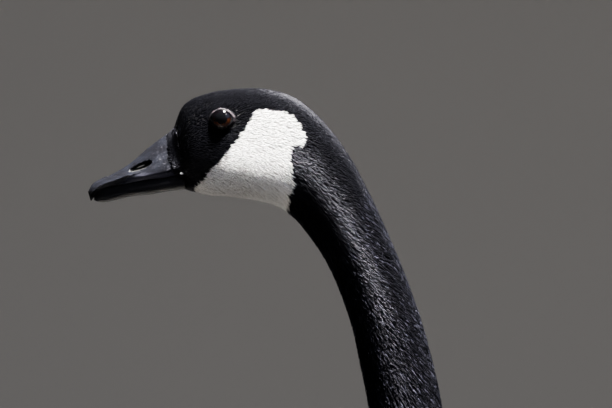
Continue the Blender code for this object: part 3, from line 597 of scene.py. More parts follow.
# The lid across: a share of the opening, and how far outside the globe's surface it lies there.
LID_PROFILE = (
    (0.98, -0.15), (0.94, 0.10), (0.96, 0.26), (1.03, 0.28), (1.08, 0.36), (1.13, 0.30), (1.18, 0.12),
    (1.25, -0.30), (1.29, -2.0), (1.12, -1.2),
)
LID_SIDES = 56
# Shares of the opening between which the lid is pale, and the angle where it is palest.
LID_PALE = (1.06, 1.15)
LID_PALEST = math.radians(72)
# How far the lid's back and front corner are drawn out.
BACK_CORNER, FRONT_CORNER = 0.10, 0.08

eye_globe, tree, shader = new_material(
    "eye_cornea", **{"Roughness": 0.05, "Specular IOR Level": 0.3, "IOR": 1.376}
)
# A wet cornea over the iris: sharp highlights, brown fibres that run out from the pupil, black rim.
reach = add_node(tree, "ShaderNodeAttribute", {"attribute_name": "reach"})
spoke = add_node(tree, "ShaderNodeAttribute", {"attribute_name": "spoke"})
fibres = add_node(
    tree, "ShaderNodeTexNoise", {"noise_dimensions": "3D"}, {"Scale": 9.0, "Detail": 3.0},
    {"Vector": spoke.outputs["Vector"]},
)
# Painted shade: the iris is darkened towards its top, as under the brow, so that its brown shows in the
# lower half.
lower = add_node(tree, "ShaderNodeAttribute", {"attribute_name": "lower"})
lit_fibres = add_node(
    tree, "ShaderNodeMath", {"operation": "MULTIPLY"},
    links={0: fibres.outputs["Fac"], 1: lower.outputs["Fac"]},
)
iris_brown = add_node(
    tree, "ShaderNodeMix", {"data_type": "RGBA"}, {"A": colour("030203"), "B": colour("4e2813")},
    {"Factor": lit_fibres.outputs["Value"]},
)
pupil_share, iris_share = PUPIL_RADIUS / EYE_RADIUS, IRIS_RADIUS / EYE_RADIUS
eye_bands = add_node(
    tree, "ShaderNodeValToRGB", links={"Fac": reach.outputs["Fac"]},
    stops=(
        (pupil_share - PUPIL_EDGE, "000000"), (pupil_share + PUPIL_EDGE, "ffffff"),
        (iris_share - IRIS_RIM, "ffffff"), (iris_share, "000000"),
    ),
)
eye_colour = add_node(
    tree, "ShaderNodeMix", {"data_type": "RGBA"}, {"A": colour("040405")},
    {"Factor": eye_bands.outputs["Color"], "B": iris_brown.outputs["Result"]},
)
tree.links.new(eye_colour.outputs["Result"], shader.inputs["Base Color"])

lid_skin, tree, shader = new_material("lid_skin", **{"Roughness": 0.5, "Specular IOR Level": 0.05})
# Bare lid skin: nearly black at the globe, with a pale pinkish outer rim of wrinkles about half a
# millimetre wide, broken into dots, strongest above and behind the eye.
where = add_node(tree, "ShaderNodeTexCoord")
wrinkles = add_node(
    tree, "ShaderNodeTexNoise", None, {"Scale": 900.0, "Detail": 1.0}, {"Vector": where.outputs["Object"]}
)
dots = add_node(
    tree, "ShaderNodeValToRGB", links={"Fac": wrinkles.outputs["Fac"]},
    stops=((0.50, "000000"), (0.57, "ffffff")),
)
pale = add_node(tree, "ShaderNodeAttribute", {"attribute_name": "pale"})
pale_dots = add_node(
    tree, "ShaderNodeMath", {"operation": "MULTIPLY"},
    links={0: dots.outputs["Color"], 1: pale.outputs["Fac"]},
)
lid_colour = add_node(
    tree, "ShaderNodeMix", {"data_type": "RGBA"}, {"A": colour("0c0b0d"), "B": colour("5a4f54")},
    {"Factor": pale_dots.outputs["Value"]},
)
tree.links.new(lid_colour.outputs["Result"], shader.inputs["Base Color"])
creases = add_node(
    tree, "ShaderNodeBump", None, {"Strength": 0.6, "Distance": 0.0004},
    {"Height": wrinkles.outputs["Fac"]},
)
tree.links.new(creases.outputs["Normal"], shader.inputs["Normal"])


def eye_frame(side):
    """The eye's centre in millimetres and the directions to its front, its back corner and its top."""
    outward = np.array([-math.sin(EYE_TURN), side * math.cos(EYE_TURN), EYE_TILT])
    outward /= np.linalg.norm(outward)
    back = np.cross(outward, (0.0, 0.0, 1.0)) * -side
    back /= np.linalg.norm(back)
    top = np.cross(outward, back) * side
    if top[2] < 0:
        top = -top
    if back[0] < 0:
        back = -back
    return np.array([0.0, side * EYE_OFFSET, EYE_HEIGHT]), outward, back, top


def make_eye(word, side):
    """The globe. For the iris it keeps each point's distance from the axis, its direction from there, and
    a painted shade that darkens the iris towards its top."""
    centre, outward, back, top = eye_frame(side)
    points, reaches, spokes, painted_light_shares = [centre + outward * EYE_RADIUS], [0.0], [(0.0, 0.0, 0.0)], [0.0]
    for i in range(1, EYE_RINGS):
        polar = math.pi * i / EYE_RINGS
        for j in range(EYE_SIDES):
            around = 2 * math.pi * j / EYE_SIDES
            flat = back * math.cos(around) + top * math.sin(around)
            points.append(centre + (outward * math.cos(polar) + flat * math.sin(polar)) * EYE_RADIUS)
            reaches.append(math.sin(polar) if polar < math.pi / 2 else 1.0)
            spokes.append((math.cos(around), math.sin(around), 0.15 * math.sin(polar)))
            # Painted shade: the iris is lit below and dark above, as under the brow.
            painted_light_shares.append(min(1.0, max(0.0, 0.15 - 1.2 * math.sin(around))))
    points.append(centre - outward * EYE_RADIUS)
    reaches.append(1.0)
    spokes.append((0.0, 0.0, 0.0))
    painted_light_shares.append(0.0)
    last, sides = len(points) - 1, EYE_SIDES
    faces = [(0, 1 + j, 1 + (j + 1) % sides) for j in range(sides)]
    for i in range(EYE_RINGS - 2):
        for j in range(sides):
            a, b = 1 + i * sides + j, 1 + i * sides + (j + 1) % sides
            faces.append((a, b, b + sides, a + sides))
    faces += [(last, last - sides + (j + 1) % sides, last - sides + j) for j in range(sides)]
    eye = new_piece(f"eye_globe_{word}", place_in_frame(points), faces, eye_globe)
    set_attribute(eye.data, "reach", "FLOAT", reaches)
    set_attribute(eye.data, "lower", "FLOAT", painted_light_shares)
    set_attribute(eye.data, "spoke", "FLOAT_VECTOR", spokes)
    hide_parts(f"eye_{word}")
    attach(eye, "root")


def make_lid(word, side):
    """The lid: a soft ring that closes over the globe's edge and runs out under the feathers."""
    centre, outward, back, top = eye_frame(side)
    points, paleness = [], []
    for share, out in LID_PROFILE:
        for j in range(LID_SIDES):
            around = 2 * math.pi * j / LID_SIDES
            wide, high = LID_OPENING[0] * share, LID_OPENING[1] * share
            corner = 1 + BACK_CORNER * max(0.0, math.cos(around)) ** 6
            corner += FRONT_CORNER * max(0.0, -math.cos(around)) ** 6
            across = math.cos(around) * wide * corner
            rise = math.sin(around) * high
            flat = math.hypot(across, rise)
            depth = math.sqrt(max((EYE_RADIUS + out) ** 2 - flat ** 2, 0.2))
            points.append(centre + back * across + top * rise + outward * depth)
            pale = max(0.0, min(1.0, 0.1 + 1.1 * math.cos(around - LID_PALEST)))
            paleness.append(pale * (LID_PALE[0] < share < LID_PALE[1]))
    count, sides = len(LID_PROFILE), LID_SIDES
    faces = []
    for r in range(count):
        for j in range(sides):
            n, k = (r + 1) % count, (j + 1) % sides
            faces.append((r * sides + j, r * sides + k, n * sides + k, n * sides + j))
    lid = new_piece(f"lid_{word}", place_in_frame(points), faces, lid_skin)
    set_attribute(lid.data, "pale", "FLOAT", paleness)
    smooth = lid.modifiers.new("soft", "SUBSURF")
    smooth.levels = smooth.render_levels = 1
    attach(lid, "root")


for eye_word, eye_side in SIDES.items():
    make_eye(eye_word, eye_side)
    make_lid(eye_word, eye_side)

# The small feathers of head and neck: velvety tufts a millimetre or so wide, each a thin ridged
# blade rooted in the skin, that lie backwards over one another. They part round the eye, and on the
# neck they slant towards the nape in the furrows that the photo shows.
# A tuft's outline: the share of its length and of its width there, before its tip.
TUFT_STOPS = ((0.0, 0.7), (0.62, 0.9))
# How much of the unwrap one feather takes.
BAKE_PATCH = 0.003
# Random roots are drawn this many times over, and those too close to others are dropped.
CROWD = 5
# The cells of place and turn from which roots are drawn.
ROOT_CELLS = (160, 96)
# How much feathers of one coat vary in brightness.
TONE_SPREAD = (0.86, 1.14)


def tangents(surface, place, turn, lift):
    """The surface's directions for one step of place and of turn, and its outward normal."""
    step = 1e-3
    at = surface(place, turn, lift)
    by_place = (surface(place + step, turn, lift) - at) / step
    by_turn = (surface(place, turn + step, lift) - at) / step
    normal = np.cross(by_place, by_turn)
    normal /= np.linalg.norm(normal, axis=-1)[:, None]
    return at, by_place, by_turn, normal


def spread_roots(surface, places, turns, spacing, seed):
    """Evenly spread places on a surface: random ones, of which none is kept that lies closer to one
    kept before it than the spacing there. spacing is a function of place and turn."""
    draw = np.random.default_rng(seed)
    fine_place = np.linspace(*places, ROOT_CELLS[0])
    fine_turn = np.linspace(*turns, ROOT_CELLS[1])
    cell_place, cell_turn = grid(fine_place, fine_turn)
    _, by_place, by_turn, _ = tangents(surface, cell_place, cell_turn, np.zeros(len(cell_place)))
    area = np.linalg.norm(np.cross(by_place, by_turn), axis=1)
    area *= (fine_place[1] - fine_place[0]) * (fine_turn[1] - fine_turn[0])
    weight = area / spacing(cell_place, cell_turn) ** 2
    count = int(weight.sum() * CROWD)
    cells = draw.choice(len(cell_place), count, p=weight / weight.sum())
    place = cell_place[cells] + (draw.random(count) - 0.5) * (fine_place[1] - fine_place[0])
    turn = cell_turn[cells] + (draw.random(count) - 0.5) * (fine_turn[1] - fine_turn[0])
    points = surface(place, turn, np.zeros(count))
    room = spacing(place, turn)
    size = float(room.max())
    keys = np.floor(points / size).astype(int)
    near = [(i, j, k) for i in (-1, 0, 1) for j in (-1, 0, 1) for k in (-1, 0, 1)]
    kept, cellmates = [], {}
    for n, ((a, b, c), (x, y, z), r) in enumerate(zip(keys.tolist(), points.tolist(), room.tolist())):
        taken = any(
            (px - x) ** 2 + (py - y) ** 2 + (pz - z) ** 2 < r * r
            for i, j, k in near
            for px, py, pz in cellmates.get((a + i, b + j, c + k), ())
        )
        if not taken:
            cellmates.setdefault((a, b, c), []).append((x, y, z))
            kept.append(n)
    return place[kept], turn[kept]


def tuft_shape(stops):
    """One tuft's points as shares of length, width and ridge height, and its faces."""
    points = []
    for along, wide in stops:
        points += [(along, -wide, 0.0), (along, 0.0, 1.0), (along, wide, 0.0)]
    tip = len(points)
    points.append((1.0, 0.0, 0.2))
    faces = [(0, 1, 2)]
    for i in range(len(stops) - 1):
        a = 3 * i
        faces += [(a, a + 3, a + 4, a + 1), (a + 1, a + 4, a + 5, a + 2), (a + 2, a + 5, a + 3, a)]
    a = tip - 3
    faces += [(a, tip, a + 1), (a + 1, tip, a + 2), (a + 2, tip, a)]
    return np.array(points), faces


def body_unwrap(place, turn):
    """The unwrap of the body's form: once round across, and from the bill to the tail upwards."""
    return np.stack([np.mod(turn / (2 * math.pi), 1.0), place / LAST_PLACE], axis=-1)


def join_feathers(name, points, template, faces, roots, tints, material, smooth):
    """One mesh of many feathers alike in faces. points are millimetres and tints linear colours, for
    each point of each feather, and roots are the places of their roots on the unwrap."""
    count, size = points.shape[:2]
    loops = np.concatenate([np.array(face) for face in faces])
    starts = np.cumsum([0] + [len(face) for face in faces[:-1]])
    all_loops = (np.arange(count)[:, None] * size + loops[None, :]).ravel()
    all_starts = (np.arange(count)[:, None] * len(loops) + starts[None, :]).ravel()
    mesh = bpy.data.meshes.new(name)
    mesh.vertices.add(count * size)
    mesh.vertices.foreach_set("co", place_in_frame(points.reshape(-1, 3)).astype(np.float32).ravel())
    mesh.loops.add(len(all_loops))
    mesh.loops.foreach_set("vertex_index", all_loops.astype(np.int32))
    mesh.polygons.add(len(all_starts))
    mesh.polygons.foreach_set("loop_start", all_starts.astype(np.int32))
    mesh.polygons.foreach_set("use_smooth", np.full(len(all_starts), smooth))
    mesh.update(calc_edges=True)
    patch = np.stack([template[:, 1] / 2, template[:, 0] - 0.5], axis=-1) * BAKE_PATCH
    bake = np.clip(roots[:, None, :] + patch[None, :, :], 0, 1).reshape(-1, 2)
    mesh.uv_layers.new(name="OFBake").data.foreach_set("uv", bake[all_loops].astype(np.float32).ravel())
    rgba = np.ones((count, size, 4))
    rgba[..., :3] = tints
    set_attribute(mesh, "tint", "FLOAT_COLOR", rgba)
    mesh.validate()
    mesh.materials.append(material)
    piece = add_object(name, mesh)
    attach(piece, "root")
    return piece


def feather_coat(
    name, surface, unwrap, place, turn, sizes, shape, material, tint, seed,
    lean=None, fit=None, fringe=None, smooth=False,
):
    """Grows one feather at each place of a surface, all joined in one mesh.

    sizes holds arrays: length, width, ridge, sink (the root's depth), rise (the tip's height), and
    curl (how much higher the tip stands up). Its two single numbers are cup (how far the sides hang
    for each millimetre from the shaft) and stray (how far the lie varies, in radians). lean turns the
    lie from the surface's own run of places. fit moves the finished points, and fringe recolours them.
    """
    draw = np.random.default_rng(seed)
    count = len(place)
    template, faces = shape
    at, by_place, by_turn, normal = tangents(surface, place, turn, -sizes["sink"])
    lie = by_place / np.linalg.norm(by_place, axis=1)[:, None]
    if lean is not None:
        lie = lean(at, lie, normal, turn, place)
    stray = draw.normal(0.0, sizes["stray"], count)[:, None]
    side = np.cross(normal, lie)
    lie = lie * np.cos(stray) + side * np.sin(stray)
    side = np.cross(normal, lie)

    def steps(direction):
        """How place and turn change for one millimetre in a direction that lies on the surface."""
        pp = (by_place ** 2).sum(1)
        tt = (by_turn ** 2).sum(1)
        pt = (by_place * by_turn).sum(1)
        dp = (direction * by_place).sum(1)
        dt = (direction * by_turn).sum(1)
        det = pp * tt - pt ** 2
        return (dp * tt - dt * pt) / det, (dt * pp - dp * pt) / det

    lie_place, lie_turn = steps(lie)
    side_place, side_turn = steps(side)
    along, across, ridge = template.T
    run = sizes["length"][:, None] * along[None, :]
    wide = sizes["width"][:, None] / 2 * across[None, :]
    lift = (
        -sizes["sink"][:, None] * (1 - along) ** 1.5
        + sizes["rise"][:, None] * along
        + sizes["curl"][:, None] * along ** 2
        + sizes["ridge"][:, None] * ridge[None, :]
        - sizes["cup"] * np.abs(wide)
    )
    full_place = place[:, None] + lie_place[:, None] * run + side_place[:, None] * wide
    full_turn = turn[:, None] + lie_turn[:, None] * run + side_turn[:, None] * wide
    points = surface(full_place.ravel(), full_turn.ravel(), lift.ravel())
    if fit is not None:
        points = fit(points, template)
    tones = tint * draw.uniform(*TONE_SPREAD, count)[:, None]
    tints = np.repeat(tones[:, None, :], len(template), axis=1)
    if fringe is not None:
        tints = fringe(tints, along, across)
    return join_feathers(
        name, points.reshape(count, -1, 3), template, faces, unwrap(place, turn), tints, material, smooth)


def plumage_material(name, roughness, specular, gloss_tint, sheen):
    """Feather surface: the tint that each feather carries, with a tinted gloss and sheen on its barbs."""
    material, tree, shader = new_material(name, **{
        "Roughness": roughness, "Specular IOR Level": specular, "Specular Tint": colour(gloss_tint),
        "Sheen Weight": sheen, "Sheen Roughness": 0.35, "Sheen Tint": colour(gloss_tint),
    })
    tint = add_node(tree, "ShaderNodeAttribute", {"attribute_name": "tint"})
    tree.links.new(tint.outputs["Color"], shader.inputs["Base Color"])
    return material


# Black feathers: melanin-black keratin with a cool violet gloss on each barb.
black_feather = plumage_material("black_feather", 0.45, 0.06, "dcdcf2", 0.0)
# The same on the lower neck, duller with worn barbs.
worn_feather = plumage_material("worn_feather", 0.5, 0.04, "dcdcf2", 0.0)
# White feathers: unpigmented keratin, which scatters light softly.
white_feather = plumage_material("white_feather", 0.7, 0.3, "ffffff", 0.1)

# How far the lie slants to the nape, in degrees, at places along head and neck.
LEAN_PLACES = (0, 4, 6, 8, 10, 12, 15)
LEAN_ANGLES = (0, 0, 16, 33, 26, 18, 0)
# Feathers part round the eye: how strongly, out to which distance, and over how wide a band.
EYE_PULL, EYE_PULL_END, EYE_PULL_BAND = 0.7, 11.0, 5.0
# The bare ring that the roots leave round each lid, along and across it.
BARE_RING = (0.95, 0.9)


def head_lean(at, lie, normal, turn, place):
    """The lie on head and neck: slanted towards the nape on the neck, and parted round each eye."""
    slant = np.radians(np.interp(place, LEAN_PLACES, LEAN_ANGLES))[:, None] * np.sin(turn)[:, None]
    side = np.cross(normal, lie)
    lie = lie * np.cos(slant) - side * np.sin(slant)
    for sign in SIDES.values():
        centre = np.array([0.0, sign * EYE_OFFSET, EYE_HEIGHT])
        away = at - centre
        away -= normal * (away * normal).sum(1)[:, None]
        far = np.linalg.norm(at - centre, axis=1)
        flat = np.linalg.norm(away, axis=1)[:, None]
        pull = np.clip((EYE_PULL_END - far) / EYE_PULL_BAND, 0, 1)[:, None] * EYE_PULL
        lie = lie + away / np.maximum(flat, 0.1) * pull
        lie /= np.linalg.norm(lie, axis=1)[:, None]
    return lie


def clear_of_eye(place, turn):
    """Which roots stand outside both lids."""
    points = body_surface(place, turn, np.zeros(len(place)))
    keep = np.ones(len(place), bool)
    for sign in SIDES.values():
        centre, outward, back, top = eye_frame(sign)
        away = points - centre
        wide, high = (LID_OPENING[k] + BARE_RING[k] for k in (0, 1))
        ring = np.hypot(away @ back / wide, away @ top / high)
        keep &= (ring > 1.0) | (points[:, 1] * sign < 0)
    return keep


# The line where feathers start at the bill, as a place: how far it reaches forward over the cheek and
# steps back under the jaw, with the angles from the back and the widths of both, in degrees.
FACE_LINE = {
    "place": -0.42, "cheek": 0.16, "cheek_turn": 60, "cheek_width": 30, "jaw": 0.42, "jaw_turn": 104,
    "jaw_width": 24,
}


def face_start(turn):
    """The place where the feathers start at the bill, at each angle."""
    steep = np.degrees(np.abs(np.angle(np.exp(1j * turn))))
    cheek = np.exp(-(((steep - FACE_LINE["cheek_turn"]) / FACE_LINE["cheek_width"]) ** 2))
    jaw = np.clip((steep - FACE_LINE["jaw_turn"]) / FACE_LINE["jaw_width"], 0, 1)
    return FACE_LINE["place"] - FACE_LINE["cheek"] * cheek + FACE_LINE["jaw"] * jaw


bill_hull = BVHTree.FromObject(bill_upper, bpy.context.evaluated_depsgraph_get())
# Points ahead of this x are kept clear of the horn: at the root, and more to the tip and the ridge.
NEAR_BILL = -20.5
BILL_CLEARANCE = (0.10, 0.30, 0.32)


def over_bill(points, template):
    """Lifts feather points that would lie in the bill's horn until they lie on it."""
    metres = place_in_frame(points)
    at_root, to_tip, to_ridge = BILL_CLEARANCE
    for n in np.nonzero(points[:, 0] < NEAR_BILL)[0]:
        along, _, ridge = template[n % len(template)]
        clear = (at_root + to_tip * along + to_ridge * ridge) * MM
        spot = Vector(metres[n])
        hit, normal, _, _ = bill_hull.find_nearest(spot)
        if (spot - hit).dot(normal) < clear:
            points[n] = (np.array(hit + normal * clear) - np.array([EYE_X, 0.0, 0.0])) / MM
    return points


def tuft_sizes(place, turn, seed, length, width):
    """The sizes of head and neck tufts: shortest at the bill and round the eye."""
    draw = np.random.default_rng(seed)
    count = len(place)
    points = body_surface(place, turn, np.zeros(count))
    short = np.interp(place, (-1, 1.5, 4, 7, 15), (0.42, 0.62, 0.85, 1.0, 1.25))
    for sign in SIDES.values():
        far = np.linalg.norm(points - np.array([0.0, sign * (EYE_OFFSET + 3), EYE_HEIGHT]), axis=1)
        short = np.minimum(short, np.interp(far, (6.0, 14.0), (0.42, 1.2)))
    flatter = np.interp(place, (8, 9.5, 11, 15), (1, 0.9, 0.5, 0.3))
    return {
        "length": length * short * draw.uniform(0.8, 1.2, count),
        "width": width * (0.55 + 0.45 * short) * draw.uniform(0.8, 1.2, count),
        "ridge": 0.22 * short * draw.uniform(0.7, 1.3, count) * flatter,
        "sink": coat_depth(place) + 0.4,
        "rise": draw.uniform(-0.35, 0.10, count),
        "curl": draw.uniform(-0.1, 0.12, count),
        "cup": 0.25,
        "stray": 0.10,
    }


def head_spacing(place, turn):
    """How far apart tufts stand: closest at the bill, and wider from the middle of the neck down."""
    return np.interp(place, (-1, 2, 5, 8, 11, 11.6, 15), (0.56, 0.62, 0.66, 0.70, 0.76, 1.1, 1.5))


def ahead(place, turn, distance):
    """Where feathers rooted at places show most: a distance in millimetres back along the surface."""
    _, by_place, _, _ = tangents(body_surface, place, turn, np.zeros(len(place)))
    return body_surface(place + distance / np.linalg.norm(by_place, axis=1), turn, np.zeros(len(place)))


# Where scurf lies, from the eye, and how far it reaches.
SCURF, SCURF_REACH = (-23.6, -6.8), (2.2, 3.0)
whole_turn = (-math.pi, math.pi)
tuft = tuft_shape(TUFT_STOPS)
head_place, head_turn = spread_roots(body_surface, (-0.95, 7.6), whole_turn, head_spacing, seed=11)
keep = clear_of_eye(head_place, head_turn) & (head_place > face_start(head_turn))
head_place, head_turn = head_place[keep], head_turn[keep]
white = on_strap(ahead(head_place, head_turn, 2.0))
for coat_name, slot, chosen, finish, hue in (
    ("head_coat", "black_feather", ~white, black_feather, BLACK),
    ("strap_coat", "breast_feather", white, white_feather, STRAP_WHITE),
):
    p, t = head_place[chosen], head_turn[chosen]
    tones = np.tile(np.array(colour(hue)[:3]), (len(p), 1))
    # Grey scurf on the tufts at the top of the bill's edge.
    spots = body_surface(p, t, np.zeros(len(p))) - np.array([0.0, 0.0, EYE_HEIGHT])
    near = fades_from(spots, SCURF, SCURF_REACH)
    tones[near > np.random.default_rng(14).uniform(0.25, 1.6, len(p))] = colour("4e4d57")[:3]
    sizes = tuft_sizes(p, t, 12, 4.0, 0.95)
    # White tufts lie flatter and closer, so that the strap looks smooth.
    if hue == STRAP_WHITE:
        sizes["ridge"] *= 0.15
        sizes["width"] *= 0.8
        sizes["cup"] = 0.06
    coat = feather_coat(
        coat_name, body_surface, body_unwrap, p, t, sizes, tuft, finish, tones, seed=13,
        lean=head_lean, fit=over_bill, smooth=hue == STRAP_WHITE,
    )

# The neck's coat is in three pieces, so that none has too many triangles: their first and last place.
neck_places = (7.55, COLLAR_PLACE)
neck_place, neck_turn = spread_roots(body_surface, neck_places, whole_turn, head_spacing, seed=21)
NECK_COATS = {
    "neck_coat_upper": (7.0, 9.3), "neck_coat_middle": (9.3, 11.4), "neck_coat_lower": (11.4, 15.0),
}
for coat_name, (first, last) in NECK_COATS.items():
    chosen = (neck_place >= first) & (neck_place < last)
    p, t = neck_place[chosen], neck_turn[chosen]
    # A few tufts are painted much paler than the rest: painted highlights that give the neck its light
    # streaks.
    gloss = np.random.default_rng(24).uniform(0, 1, (len(p), 1))
    tones = np.array(colour(BLACK)[:3]) * (0.6 + 13.0 * gloss ** 6)
    coat = feather_coat(
        coat_name, body_surface, body_unwrap, p, t, tuft_sizes(p, t, 22, 5.2, 0.95), tuft,
        black_feather if first < 9 else worn_feather, tones, seed=23, lean=head_lean,
    )

# The body's contour feathers: broad overlapping vanes with a paler rim, small at the collar and
# larger on breast and belly. They grow from the skin, lie backwards, and leave the part that the
# wings cover bare. Rims are where the dark pigment stops short of the feather's edge.
CONTOUR_STOPS = ((0.0, 0.50), (0.40, 0.92), (0.74, 1.0), (0.93, 0.72))
CONTOUR_COLUMNS = (-1.0, -0.84, 0.0, 0.84, 1.0)
# The rim: outside this share of the width and past this share of the length. Darker feathers than
# this brightness have a weaker one.
RIM_SHARE, RIM_START = 0.88, 0.3
DARKEST_BROWN = 0.03


def contour_shape():
    """A broad feather: a crowned top of several columns, closed below from edge to edge."""
    wide = len(CONTOUR_COLUMNS)
    points = []
    for along, share in CONTOUR_STOPS:
        points += [(along, share * c, 1.0 - c * c) for c in CONTOUR_COLUMNS]
    tip = len(points)
    points.append((1.0, 0.0, 0.6))
    faces = [tuple(range(wide))]
    for i in range(len(CONTOUR_STOPS) - 1):
        a = wide * i
        faces += [(a + j, a + wide + j, a + wide + j + 1, a + j + 1) for j in range(wide - 1)]
        faces.append((a + wide - 1, a + 2 * wide - 1, a + wide, a))
    a = tip - wide
    faces += [(a + j, tip, a + j + 1) for j in range(wide - 1)]
    faces.append((a + wide - 1, tip, a))
    return np.array(points), faces


def pale_rim(rim, strength, tip=0.9):
    """Recolours a feather's outer edge, and what lies past the tip's share of its length, towards a
    paler tone. Black feathers stay as they are."""
    tone = np.array(colour(rim)[:3])

    def recolour(tints, along, across):
        widest = np.array([np.abs(across[along == a]).max() for a in along])
        edge = (np.abs(across) > RIM_SHARE * widest) * (along > RIM_START)
        edge = np.maximum(edge, along > tip)[None, :, None] * strength
        brown = np.clip(tints.mean(axis=2, keepdims=True) / DARKEST_BROWN - 0.5, 0, 1)
        return tints + (tone - tints) * edge * brown

    return recolour


contour_feather = plumage_material("contour_feather", 0.62, 0.35, "fff4e6", 0.12)
contour = contour_shape()
BREAST_END = 17.6
# The part under the folded wing, in x and in the angle from the back. Its front edge runs back by
# the slant between two angles, nearer to the spine.
WING_COVER = {"front": 122.0, "back": 440.0, "upper": math.radians(16), "lower": math.radians(88)}
COVER_SLANT, SLANT_TURNS = 40, (math.radians(60), math.radians(44))


def body_spacing(place, turn):
    """Feathers grow larger from the collar to the breast, and stay smaller on the rump."""
    return np.interp(place, (14, 15, 16, 17.5, 20, 23, 25), (1.7, 2.6, 4.0, 5.6, 6.6, 6.2, 5.2))


body_places = (COLLAR_PLACE, LAST_PLACE - 0.1)
body_place, body_turn = spread_roots(body_surface, body_places, whole_turn, body_spacing, seed=31)
body_points = body_surface(body_place, body_turn, np.zeros(len(body_place)))
steep = np.abs(body_turn)
slant = np.clip((SLANT_TURNS[0] - steep) / SLANT_TURNS[1], 0, 1)
cover_front = WING_COVER["front"] + COVER_SLANT * slant
covered = (body_points[:, 0] > cover_front) & (body_points[:, 0] < WING_COVER["back"])
covered &= (steep > WING_COVER["upper"]) & (steep < WING_COVER["lower"])
body_place, body_turn, body_points = body_place[~covered], body_turn[~covered], body_points[~covered]
body_tint = markings(body_place, body_turn, body_points)
room = body_spacing(body_place, body_turn)
draw = np.random.default_rng(32)
body_sizes = {
    "length": room * draw.uniform(3.4, 4.2, len(room)),
    "width": room * draw.uniform(2.1, 2.6, len(room)),
    "ridge": 0.045 * room,
    "sink": coat_depth(body_place) + 0.3,
    "rise": draw.uniform(-0.7, -0.1, len(room)),
    "curl": draw.uniform(0.0, 0.25, len(room)),
    "cup": 0.03,
    "stray": 0.09,
}
for coat_name, chosen in (
    ("breast_coat", body_place < BREAST_END),
    ("belly_coat", body_place >= BREAST_END),
):
    coat = feather_coat(
        coat_name, body_surface, body_unwrap, body_place[chosen], body_turn[chosen],
        {key: value[chosen] if np.ndim(value) else value for key, value in body_sizes.items()},
        contour, contour_feather, body_tint[chosen], seed=33, fringe=pale_rim("d8cdbd", 0.3), smooth=True,
    )

# The folded wings: each a thin shell of skin and down against the goose's side, covered from the
# front by lesser, median and greater coverts, with scapulars over its top and the long secondaries,
# tertials and primaries behind. Every vane lies over the next like a roof tile.
# Rows of the folded wing from its front back: x, the height of its crest and of its widest place, and
# the distance of that place from the spine.
WING_ROWS = np.array([
    (74.0, 415.0, 352.0, 60.0),
    (100.0, 432.0, 344.0, 82.0),
    (145.0, 440.0, 332.0, 100.0),
    (205.0, 438.0, 322.0, 109.0),
    (270.0, 428.0, 316.0, 111.5),
    (335.0, 410.0, 312.0, 103.0),
    (400.0, 385.0, 311.0, 82.0),
    (460.0, 360.0, 312.0, 58.0),
    (520.0, 343.0, 314.0, 40.0),
    (590.0, 334.0, 317.0, 26.0),
])
WING_FRONT, WING_BACK, WING_TIP = 80.0, 405.0, 575.0
# The folded wing's edges, in degrees from the spine: the upper one drops behind a share of the wing's
# length and in front of another, and the lower one rises in front and evenly to the rear.
WING_UPPER = {"turn": 5, "rear": 66, "rear_from": 0.62, "power": 1.3, "front": 45, "front_to": 0.10}
WING_LOWER = {"turn": 103, "front": 14, "front_to": 0.16, "rear": 6}


def wing_surface(x, turn, lift):
    """Points of the folded wing's outer form at a distance back from the eye: turn 0 lies over the
    spine and a quarter turn at the widest place, and negative turns are on the left."""
    place = np.interp(x, WING_ROWS[:, 0], np.arange(len(WING_ROWS)))
    _, crest, middle, half_width = np.moveaxis(spline(WING_ROWS, place), -1, 0)
    side = (half_width + lift) * np.sin(turn)
    rise = middle + (crest - middle + lift) * np.cos(turn)
    return np.stack([np.broadcast_to(x, side.shape), side, rise], axis=-1)


def wing_unwrap(x, turn):
    """The unwrap of the wings and the back: once round across, and from front to tip upwards."""
    share = (x - WING_FRONT) / (WING_TIP + 20 - WING_FRONT)
    return np.stack([0.5 + turn / (2 * math.pi), share], axis=-1)


def wing_edges(x):
    """The turns of the folded wing's upper and lower edge."""
    share = (x - WING_FRONT) / (WING_TIP - WING_FRONT)
    behind = np.maximum(0.0, share - WING_UPPER["rear_from"])
    upper_rear = WING_UPPER["rear"] * behind ** WING_UPPER["power"]
    upper_front, lower_front = (
        edge["front"] * np.maximum(0.0, edge["front_to"] - share) / edge["front_to"]
        for edge in (WING_UPPER, WING_LOWER)
    )
    upper = WING_UPPER["turn"] + upper_rear + upper_front
    lower = WING_LOWER["turn"] - lower_front - WING_LOWER["rear"] * share
    return np.radians(upper), np.radians(lower)


wing_feather = plumage_material("wing_feather", 0.5, 0.4, "ffe9d2", 0.10)
# Down under the vanes: loose and dull brown, kept dark as painted shade so that gaps between feathers
# look deep.
down_and_painted_shade = new_material("down_and_painted_shade", **{"Roughness": 0.9, "Base Color": colour("2c2520")})[0]

